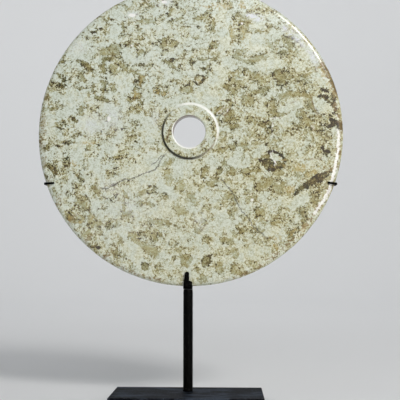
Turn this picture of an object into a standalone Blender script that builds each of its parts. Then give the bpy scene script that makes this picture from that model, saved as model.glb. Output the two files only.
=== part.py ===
"""Marble disc with a raised collar round its hole, held upright on a black steel display stand.

Metres, +Z up. The origin is the centre of the foot plate's underside, and the disc's face looks
towards -Y. The disc stands in a strap on top of a round rod, and a cross arm behind it hooks
round its rim on the left and on the right.
"""
import bpy
import numpy as np
from math import cos, pi, radians, sin, sqrt

MM = 0.001

# Marble disc
DISC_DIAMETER = 320.0 * MM
DISC_THICKNESS = 9.0 * MM
RIM_ROUNDING_LENGTH = 6.5 * MM      # how far in from the rim its elliptic rounding starts
FACE_FALL = 0.35 * MM               # the polish lowers each face by this much towards the rim
FACE_FALL_WIDTH = 26.0 * MM
HOLE_DIAMETER = 33.6 * MM
HOLE_EDGE_BREAK = 0.5 * MM          # the worn edge at both mouths of the hole
HOLE_SHIFT_X = -0.2 * MM            # hand drilling left the hole and its collar a little off centre
HOLE_SHIFT_Z = 0.6 * MM
COLLAR_TOP_DIAMETER = 54.4 * MM
COLLAR_HEIGHT = 3.0 * MM
COLLAR_FLARE = 2.6 * MM             # how much wider in radius the collar's foot is than its top
COLLAR_EDGE_BREAK = 0.4 * MM

# Foot plate
PLATE_WIDTH = 153.0 * MM
PLATE_DEPTH = 70.0 * MM
PLATE_THICKNESS = 10.0 * MM
PLATE_EDGE_BREAK = 0.6 * MM

# Upright rod
ROD_DIAMETER = 10.0 * MM
ROD_SETBACK = 10.0 * MM             # the rod stands this far behind the plate's centre
ROD_WELD_SPREAD = 0.35 * MM         # the weld at its foot widens its radius
ROD_WELD_HEIGHT = 1.6 * MM
ROD_TAPER_LENGTH = 4.5 * MM         # its top end is filed down a little to meet the strap
ROD_TAPER = 0.3 * MM

# Where the disc is held
DISC_CENTRE_HEIGHT = 267.0 * MM     # above the plate's top
DISC_OFFSET_X = 1.8 * MM            # the disc stands a little to the right of the rod
DISC_AHEAD_OF_ROD = 2.5 * MM        # its middle plane is this far in front of the rod's axis

# Cradle strap
STRAP_THICKNESS = 2.5 * MM
STRAP_WIDTH = 9.3 * MM
STRAP_BEND_RADIUS = 2.0 * MM        # inside the two bends under the rim
LIP_HEIGHT = 4.6 * MM               # where the lip ends, above the bottom of the rim
SHOULDER_HEIGHT = 1.8 * MM          # the shoulder between the lip and its narrow finger
SHOULDER_CUT = 3.1 * MM             # cut away at the shoulder, on the right
FINGER_TOP = 15.0 * MM              # above the bottom of the rim
FINGER_LEAN = 1.9 * MM              # the left edge drifts this far to the right on the way up
FINGER_POINT_NIP = 1.0 * MM         # the point is this much narrower on each side
FINGER_POINT_LENGTH = 1.4 * MM

# Cross arm
ARM_DROP = 53.8 * MM                # below the disc's centre
ARM_TILT = 0.0041                   # the arm falls by this much per length, towards the right
ARM_BAR_HEIGHT = 6.0 * MM
ARM_BAR_THICKNESS = 2.5 * MM
ARM_HOOK_HEIGHT = 2.3 * MM
ARM_HOOK_THICKNESS = 1.2 * MM
ARM_TAPER_LENGTH = 14.0 * MM        # the bar is drawn down to its hook over this length
ARM_BEND_RADIUS = 2.4 * MM          # on the middle line of the strip
HOOK_REACH_LEFT = 9.7 * MM          # from the rim onto the face
HOOK_REACH_RIGHT = 8.6 * MM
HOOK_RISE_LEFT = 0.5 * MM           # the hook's tip stands higher than its bend
HOOK_RISE_RIGHT = 1.1 * MM

# Fits and facets
CLEARANCE = 0.3 * MM                # between pieces that touch
DISC_SIDES = 120
RIM_STEPS = 8
FALL_STEPS = 3
ROD_SIDES = 40
BEND_STEPS = 6
SHOULDER_STEPS = 4

# Heights and depths that follow from these sizes
DISC_RADIUS = DISC_DIAMETER / 2
HALF_THICKNESS = DISC_THICKNESS / 2
RIM_START = DISC_RADIUS - RIM_ROUNDING_LENGTH
FALL_START = RIM_START - FACE_FALL_WIDTH
RIM_HALF = HALF_THICKNESS - FACE_FALL
COLLAR_FOOT = COLLAR_TOP_DIAMETER / 2 + COLLAR_FLARE
PLATE_TOP = PLATE_THICKNESS
DISC_CENTRE = np.array([DISC_OFFSET_X, ROD_SETBACK - DISC_AHEAD_OF_ROD, PLATE_TOP + DISC_CENTRE_HEIGHT])
RIM_BOTTOM = DISC_CENTRE[2] - DISC_RADIUS
STRAP_UNDERSIDE = RIM_BOTTOM - CLEARANCE - STRAP_THICKNESS
ARM_HEIGHT = DISC_CENTRE[2] - ARM_DROP
BACK_OF_SPINE = DISC_CENTRE[1] + HALF_THICKNESS + CLEARANCE + STRAP_THICKNESS


def clear_scene():
    """Remove every object, so that the script can be run again."""
    for old in list(bpy.data.objects):
        bpy.data.objects.remove(old, do_unlink=True)


def make_material(name, colour, roughness, metallic):
    """A Principled material with one colour, roughness and metallic value."""
    material = bpy.data.materials.new(name)
    material.use_nodes = True
    shader = material.node_tree.nodes["Principled BSDF"]
    shader.inputs["Base Color"].default_value = (*colour, 1.0)
    shader.inputs["Roughness"].default_value = roughness
    shader.inputs["Metallic"].default_value = metallic
    return material


def make_object(name, vertices, faces, material, smooth_below):
    """Put vertices and faces into a named object, shaded smooth where faces meet at a small angle."""
    mesh = bpy.data.meshes.new(name)
    mesh.from_pydata([tuple(v) for v in vertices], [], faces)
    mesh.materials.append(material)
    mesh.shade_smooth()
    mesh.set_sharp_from_angle(angle=smooth_below)
    piece = bpy.data.objects.new(name, mesh)
    bpy.context.scene.collection.objects.link(piece)
    return piece


def ring_faces(rings, sides, closed):
    """Quads between neighbouring rings of points; the last ring joins the first when closed."""
    faces = []
    for ring in range(rings if closed else rings - 1):
        here = ring * sides
        after = (ring + 1) % rings * sides
        for side in range(sides):
            beside = (side + 1) % sides
            faces.append((here + side, here + beside, after + beside, after + side))
    return faces


def smooth_step(t):
    """A curve from 0 to 1 with level ends."""
    t = np.clip(t, 0.0, 1.0)
    return t * t * (3.0 - 2.0 * t)


def face_fall(radius):
    """How far a face lies below its middle level at a radius."""
    return FACE_FALL * np.clip((radius - FALL_START) / FACE_FALL_WIDTH, 0.0, 1.0) ** 2


def disc_section():
    """The disc's section as (radius, depth) points: out along the front, round the rim, back to the hole.

    Depth is measured from the disc's middle plane, and is negative in front of it.
    """
    hole = HOLE_DIAMETER / 2
    collar = COLLAR_TOP_DIAMETER / 2
    front = -HALF_THICKNESS
    top = front - COLLAR_HEIGHT
    slope = COLLAR_FLARE / COLLAR_HEIGHT

    section = [(hole, top + HOLE_EDGE_BREAK), (hole + HOLE_EDGE_BREAK, top)]
    section.append((collar - COLLAR_EDGE_BREAK, top))
    section.append((collar + COLLAR_EDGE_BREAK * slope, top + COLLAR_EDGE_BREAK))
    section.append((COLLAR_FOOT, front))
    falls = [FALL_START + FACE_FALL_WIDTH * step / FALL_STEPS for step in range(FALL_STEPS)]
    section += [(radius, front + face_fall(radius)) for radius in falls]
    for step in range(2 * RIM_STEPS + 1):
        angle = pi * step / (2 * RIM_STEPS)
        section.append((RIM_START + RIM_ROUNDING_LENGTH * sin(angle), -RIM_HALF * cos(angle)))
    section += [(radius, -front - face_fall(radius)) for radius in reversed(falls)]
    section += [(hole + HOLE_EDGE_BREAK, -front), (hole, -front - HOLE_EDGE_BREAK)]
    return section


def make_disc(material):
    """The disc: its section carried round the middle, with the hole and collar shifted off centre.

    The shift is whole out to the collar's foot and fades to nothing where the faces start to fall.
    """
    section = disc_section()
    turn = 2 * pi * np.arange(DISC_SIDES) / DISC_SIDES
    vertices = []
    for radius, depth in reversed(section):
        shift = 1.0 - smooth_step((radius - COLLAR_FOOT) / (FALL_START - COLLAR_FOOT))
        x = DISC_CENTRE[0] + shift * HOLE_SHIFT_X + radius * np.cos(turn)
        y = np.full(DISC_SIDES, DISC_CENTRE[1] + depth)
        z = DISC_CENTRE[2] + shift * HOLE_SHIFT_Z + radius * np.sin(turn)
        vertices.append(np.column_stack([x, y, z]))
    faces = ring_faces(len(section), DISC_SIDES, closed=True)
    return make_object("marble_disc", np.concatenate(vertices), faces, material, radians(40))


def make_foot_plate(material):
    """The foot plate: a slab with lightly broken edges."""
    x = PLATE_WIDTH / 2
    y = PLATE_DEPTH / 2
    corners = [(-x, -y), (x, -y), (x, y), (-x, y)]
    vertices = [(cx, cy, z) for z in (0.0, PLATE_THICKNESS) for cx, cy in corners]
    faces = ring_faces(2, 4, closed=False) + [(3, 2, 1, 0), (4, 5, 6, 7)]
    plate = make_object("foot_plate", vertices, faces, material, radians(30))
    bevel = plate.modifiers.new("broken edges", "BEVEL")
    bevel.width = PLATE_EDGE_BREAK
    bevel.segments = 2
    bevel.limit_method = "ANGLE"
    return plate


def make_rod(material):
    """The upright rod: a round bar with a weld at its foot and a filed top end."""
    radius = ROD_DIAMETER / 2
    foot = PLATE_TOP + CLEARANCE
    top = STRAP_UNDERSIDE - CLEARANCE
    profile = [(radius + ROD_WELD_SPREAD, foot)]
    profile.append((radius, foot + ROD_WELD_HEIGHT))
    profile.append((radius, top - ROD_TAPER_LENGTH))
    profile.append((radius - ROD_TAPER, top))
    turn = 2 * pi * np.arange(ROD_SIDES) / ROD_SIDES
    rings = [np.column_stack([r * np.cos(turn), ROD_SETBACK + r * np.sin(turn), np.full(ROD_SIDES, z)])
             for r, z in profile]
    faces = ring_faces(len(profile), ROD_SIDES, closed=False)
    last = (len(profile) - 1) * ROD_SIDES
    faces.append(tuple(reversed(range(ROD_SIDES))))
    faces.append(tuple(range(last, last + ROD_SIDES)))
    return make_object("upright_rod", np.concatenate(rings), faces, material, radians(40))


def bent_path(corners, bend_radius):
    """Points along straight runs that meet in round bends, in a plane.

    Each bend is an arc tangent to both of its runs, worked out from the corner, the two
    directions there and the bend's radius.
    """
    corners = [np.array(corner, dtype=float) for corner in corners]
    points = [corners[0]]
    for before, corner, after in zip(corners, corners[1:], corners[2:]):
        arrive = (corner - before) / np.linalg.norm(corner - before)
        leave = (after - corner) / np.linalg.norm(after - corner)
        turn = np.arccos(np.clip(arrive @ leave, -1.0, 1.0))
        side = leave - arrive * (arrive @ leave)
        side /= np.linalg.norm(side)
        start = corner - arrive * bend_radius * np.tan(turn / 2)
        for step in range(BEND_STEPS + 1):
            angle = turn * step / BEND_STEPS
            points.append(start + bend_radius * (arrive * sin(angle) + side * (1.0 - cos(angle))))
    points.append(corners[-1])
    return np.array(points)


def add_stations(path, values, axis):
    """The path with a point added wherever it crosses one of the given values on one axis."""
    points = [path[0]]
    for start, end in zip(path, path[1:]):
        low, high = sorted((start[axis], end[axis]))
        between = [value for value in values if low + CLEARANCE < value < high - CLEARANCE]
        for value in sorted(between, reverse=bool(end[axis] < start[axis])):
            points.append(start + (end - start) * (value - start[axis]) / (end[axis] - start[axis]))
        points.append(end)
    return np.array(points)


def path_normals(path):
    """The unit normal at each point of a plane path, to the left of its direction."""
    along = np.gradient(path, axis=0)
    along /= np.linalg.norm(along, axis=1)[:, None]
    return np.column_stack([-along[:, 1], along[:, 0]])


def strip_faces(stations):
    """Faces of a strip with four corners at each station, and a cap at each end."""
    faces = ring_faces(stations, 4, closed=False)
    last = 4 * (stations - 1)
    return faces + [(3, 2, 1, 0), (last, last + 1, last + 2, last + 3)]


def make_cradle_strap(material):
    """The cradle strap: one strip bent to a J, with its short leg cut down to a finger.

    The strip runs down the front of the rim, under it and up behind the disc. Its width is
    given by a left and a right edge that are functions of the height on the front leg.
    """
    middle = HALF_THICKNESS + CLEARANCE + STRAP_THICKNESS / 2
    front = DISC_CENTRE[1] - middle
    back = DISC_CENTRE[1] + middle
    floor = RIM_BOTTOM - CLEARANCE - STRAP_THICKNESS / 2
    finger_top = RIM_BOTTOM + FINGER_TOP
    shoulder = RIM_BOTTOM + LIP_HEIGHT
    spine_top = ARM_HEIGHT + ARM_BAR_HEIGHT / 2
    path = bent_path([(front, finger_top), (front, floor), (back, floor), (back, spine_top)],
                     STRAP_BEND_RADIUS + STRAP_THICKNESS / 2)
    stations = [shoulder + SHOULDER_HEIGHT * step / SHOULDER_STEPS for step in range(SHOULDER_STEPS + 1)]
    stations.append(finger_top - FINGER_POINT_LENGTH)
    front_leg = add_stations(path[:2], stations, axis=1)
    path = np.concatenate([front_leg, path[2:]])
    on_front_leg = np.arange(len(path)) < len(front_leg)

    left = np.full(len(path), -STRAP_WIDTH / 2)
    right = left + STRAP_WIDTH
    above = path[:, 1] - shoulder
    lean = FINGER_LEAN * np.clip((path[:, 1] - RIM_BOTTOM) / FINGER_TOP, 0.0, 1.0)
    cut = smooth_step(above / SHOULDER_HEIGHT) * SHOULDER_CUT
    point = np.clip((path[:, 1] - finger_top + FINGER_POINT_LENGTH) / FINGER_POINT_LENGTH, 0.0, 1.0)
    nip = point * FINGER_POINT_NIP
    left = np.where(on_front_leg, left + lean + nip, left)
    right = np.where(on_front_leg, right - cut - nip, right)

    normals = path_normals(path) * STRAP_THICKNESS / 2
    inner = path + normals
    outer = path - normals
    corners = [(left, inner), (right, inner), (right, outer), (left, outer)]
    rings = np.stack([np.column_stack([x, side[:, 0], side[:, 1]]) for x, side in corners], axis=1)
    return make_object("cradle_strap", rings.reshape(-1, 3), strip_faces(len(path)), material, radians(30))


def make_cross_arm(material):
    """The cross arm: a bar behind the disc, drawn down at both ends to hooks round the rim.

    The middle line is a plane path seen from above: in front of the face, round the rim, along
    behind the spine, and the same on the other side. Height and thickness shrink from the bar's
    to the hook's over the taper. The arm was fixed a little out of level, by its tilt.
    """
    half_hook = ARM_HOOK_THICKNESS / 2
    rim_drop = ARM_DROP - ARM_HOOK_HEIGHT / 2 - ARM_TILT * DISC_RADIUS
    rim_reach = sqrt(DISC_RADIUS ** 2 - rim_drop ** 2)
    front = DISC_CENTRE[1] - RIM_HALF - CLEARANCE - half_hook
    bar = BACK_OF_SPINE + CLEARANCE + ARM_BAR_THICKNESS / 2
    outside_left = DISC_CENTRE[0] - rim_reach - CLEARANCE - half_hook
    outside_right = DISC_CENTRE[0] + rim_reach + CLEARANCE + half_hook
    tip_left = DISC_CENTRE[0] - rim_reach + HOOK_REACH_LEFT
    tip_right = DISC_CENTRE[0] + rim_reach - HOOK_REACH_RIGHT
    path = bent_path([(tip_left, front), (outside_left, front), (outside_left, bar),
                      (outside_right, bar), (outside_right, front), (tip_right, front)], ARM_BEND_RADIUS)
    taper_left = outside_left + ARM_BEND_RADIUS
    taper_right = outside_right - ARM_BEND_RADIUS
    tapers = [taper_left + ARM_TAPER_LENGTH, taper_right - ARM_TAPER_LENGTH]
    middle = len(path) // 2
    path = np.concatenate([path[:middle], add_stations(path[middle - 1:middle + 1], tapers, axis=0)[1:-1],
                           path[middle:]])

    behind = path[:, 1] > bar - CLEARANCE
    inboard = np.minimum(path[:, 0] - taper_left, taper_right - path[:, 0])
    bar_share = np.where(behind, np.clip(inboard / ARM_TAPER_LENGTH, 0.0, 1.0), 0.0)
    height = ARM_HOOK_HEIGHT + (ARM_BAR_HEIGHT - ARM_HOOK_HEIGHT) * bar_share
    thickness = ARM_HOOK_THICKNESS + (ARM_BAR_THICKNESS - ARM_HOOK_THICKNESS) * bar_share
    on_left = path[:, 0] < DISC_CENTRE[0]
    reach = np.where(on_left, path[:, 0] - outside_left, outside_right - path[:, 0])
    rise = np.where(on_left, HOOK_RISE_LEFT, HOOK_RISE_RIGHT)
    whole_reach = np.where(on_left, tip_left - outside_left, outside_right - tip_right)
    in_front = path[:, 1] < DISC_CENTRE[1] - RIM_HALF
    level = ARM_HEIGHT - ARM_TILT * (path[:, 0] - DISC_CENTRE[0])
    level += np.where(in_front, rise * np.clip(reach / whole_reach, 0.0, 1.0), 0.0)

    normals = path_normals(path) * thickness[:, None] / 2
    low = level - height / 2
    high = level + height / 2
    sides = [(path - normals, low), (path + normals, low), (path + normals, high), (path - normals, high)]
    rings = np.stack([np.column_stack([side[:, 0], side[:, 1], z]) for side, z in sides], axis=1)
    return make_object("cross_arm", rings.reshape(-1, 3), strip_faces(len(path)), material, radians(30))


def main():
    clear_scene()
    marble = make_material("mottled marble", (0.56, 0.56, 0.44), 0.30, 0.0)
    plate_paint = make_material("worn black plate paint", (0.030, 0.031, 0.035), 0.45, 0.0)
    rod_paint = make_material("satin black rod paint", (0.008, 0.008, 0.008), 0.40, 0.0)
    strap_paint = make_material("satin black strap paint", (0.006, 0.006, 0.006), 0.50, 0.0)
    arm_paint = make_material("satin black arm paint", (0.006, 0.006, 0.006), 0.50, 0.0)
    make_disc(marble)
    make_foot_plate(plate_paint)
    make_rod(rod_paint)
    make_cradle_strap(strap_paint)
    make_cross_arm(arm_paint)


main()
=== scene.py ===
"""Looks of the marble disc on its display stand.

Metres, +Z up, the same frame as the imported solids: the origin is the centre of the foot plate's
underside, and the disc's face looks towards -Y. Sizes written in millimetres are multiplied by MM.
"""

import bpy
import numpy as np
from math import cos, pi, radians, sin, sqrt
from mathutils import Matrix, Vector


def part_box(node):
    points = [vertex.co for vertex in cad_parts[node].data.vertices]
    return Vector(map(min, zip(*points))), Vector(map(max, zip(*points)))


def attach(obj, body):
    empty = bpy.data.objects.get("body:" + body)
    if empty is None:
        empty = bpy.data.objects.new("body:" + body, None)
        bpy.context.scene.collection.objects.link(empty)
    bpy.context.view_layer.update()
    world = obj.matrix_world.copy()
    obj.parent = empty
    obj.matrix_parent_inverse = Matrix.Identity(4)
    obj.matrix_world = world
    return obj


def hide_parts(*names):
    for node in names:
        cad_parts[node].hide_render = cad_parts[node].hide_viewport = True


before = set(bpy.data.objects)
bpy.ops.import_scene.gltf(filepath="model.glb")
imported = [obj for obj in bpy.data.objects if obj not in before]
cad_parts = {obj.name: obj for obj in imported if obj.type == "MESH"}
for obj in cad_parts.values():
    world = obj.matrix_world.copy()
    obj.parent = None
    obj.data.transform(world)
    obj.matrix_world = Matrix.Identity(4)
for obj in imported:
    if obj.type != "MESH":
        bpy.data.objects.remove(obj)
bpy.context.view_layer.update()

from types import SimpleNamespace

MM = 0.001

# Where the solids are, read from the frame
disc_low, disc_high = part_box("marble_disc")
plate_low, plate_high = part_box("foot_plate")
rod_low, rod_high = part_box("upright_rod")
strap_low, strap_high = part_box("cradle_strap")
arm_low, arm_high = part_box("cross_arm")

DISC_RADIUS = (disc_high.x - disc_low.x) / 2
DISC_X = (disc_low.x + disc_high.x) / 2
DISC_Z = (disc_low.z + disc_high.z) / 2
RIM_BOTTOM = disc_low.z
CLEARANCE = 0.3 * MM

# Marble disc
COLLAR_HEIGHT = 3.0 * MM
COLLAR_TOP_RADIUS = 27.2 * MM
COLLAR_FLARE = 2.6 * MM
HOLE_RADIUS = 16.8 * MM
HOLE_SHIFT_X = -0.2 * MM
HOLE_SHIFT_Z = 0.6 * MM
EDGE_BREAK = 0.45 * MM
HOLE_ROUNDING = 1.2 * MM
RIM_ROUNDING_LENGTH = 6.5 * MM
FACE_FALL = 0.35 * MM
FACE_FALL_WIDTH = 26.0 * MM
COLLAR_SIDE_TURN = 84
DISC_SIDES = 560

FRONT_FACE = disc_low.y + COLLAR_HEIGHT
DISC_MIDDLE = (FRONT_FACE + disc_high.y) / 2
HALF_THICKNESS = (disc_high.y - FRONT_FACE) / 2
RIM_START = DISC_RADIUS - RIM_ROUNDING_LENGTH
FALL_START = RIM_START - FACE_FALL_WIDTH
COLLAR_FOOT = COLLAR_TOP_RADIUS + COLLAR_FLARE

# How uneven the hand-cut stone is: the length of each waver, and how far it moves the surface
LONG_WAVER_LENGTH = 46.0 * MM
LONG_WAVER = 0.10 * MM
SHORT_WAVER_LENGTH = 17.0 * MM
SHORT_WAVER = 0.03 * MM
FACE_SINK = 0.10 * MM
RIM_WEAR_LENGTH = 30.0 * MM
RIM_WEAR = 0.10 * MM
COLLAR_WAVER_LENGTH = 24.0 * MM
COLLAR_WAVER = 0.22 * MM

# Foot plate and rod
PLATE_EDGE_BREAK = 0.6 * MM
ROD_RADIUS = 5.0 * MM
ROD_SIDES = 96
ROD_WELD_SPREAD = 0.35 * MM
ROD_WELD_HEIGHT = 1.6 * MM
ROD_WELD_LUMP_LENGTH = 5.0 * MM
ROD_TAPER_LENGTH = 4.5 * MM
ROD_TAPER = 0.3 * MM
ROD_TOP_BREAK = 0.3 * MM
ROD_WEAR_LENGTH = 9.0 * MM
ROD_WEAR = 0.03 * MM
ROD_WELD_ROWS = 9
ROD_BAR_ROWS = 60
ROD_TAPER_ROWS = 8

# Steps round each bend and each rounded corner of a strip, and how much of its corner's radius a
# strip loses at its very ends
BEND_STEPS = 17
CORNER_STEPS = 5
END_INSET = 0.8

# Cradle strap
STRAP_THICKNESS = 2.5 * MM
STRAP_BEND_RADIUS = 2.0 * MM
STRAP_CORNER = 0.35 * MM
STRAP_SPACING = 0.25 * MM
LIP_HEIGHT = 4.6 * MM
SHOULDER_HEIGHT = 1.8 * MM
SHOULDER_CUT = 3.1 * MM
FINGER_TOP = 15.0 * MM
FINGER_LEAN = 1.9 * MM
FINGER_POINT_NIP = 1.0 * MM
FINGER_POINT_LENGTH = 1.4 * MM
FINGER_WAVER_LENGTH = 6.0 * MM
FINGER_WAVER = 0.12 * MM

# Cross arm
ARM_BAR_THICKNESS = 2.5 * MM
ARM_BAR_HEIGHT = 6.0 * MM
ARM_HOOK_HEIGHT = 2.3 * MM
ARM_HOOK_THICKNESS = 1.2 * MM
ARM_TAPER_LENGTH = 14.0 * MM
ARM_BEND_RADIUS = 2.4 * MM
ARM_CORNER = 0.45 * MM
ARM_SPACING = 0.35 * MM
ARM_DROP = 53.8 * MM
ARM_TILT = 0.0041
HOOK_REACH_LEFT = 9.7 * MM
HOOK_REACH_RIGHT = 8.6 * MM
HOOK_RISE_LEFT = 0.5 * MM
HOOK_RISE_RIGHT = 1.1 * MM

# Camera, fitted to the photograph: place in metres, angles in degrees, lens and sensor in millimetres
CAMERA_PLACE = (0.0401, -0.7920, 0.1418)
CAMERA_LOOKS_UP = 4.62
CAMERA_TURN = 1.98
CAMERA_LENS = 69.26
CAMERA_SENSOR = 36.0

# Stage, in metres
WALL_RADIUS = 2.8
WALL_HEIGHT = 3.2
WALL_CURVE = 1.0
FLOOR_FLAT_RADIUS = 1.0
STAGE_SIDES = 128

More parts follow.
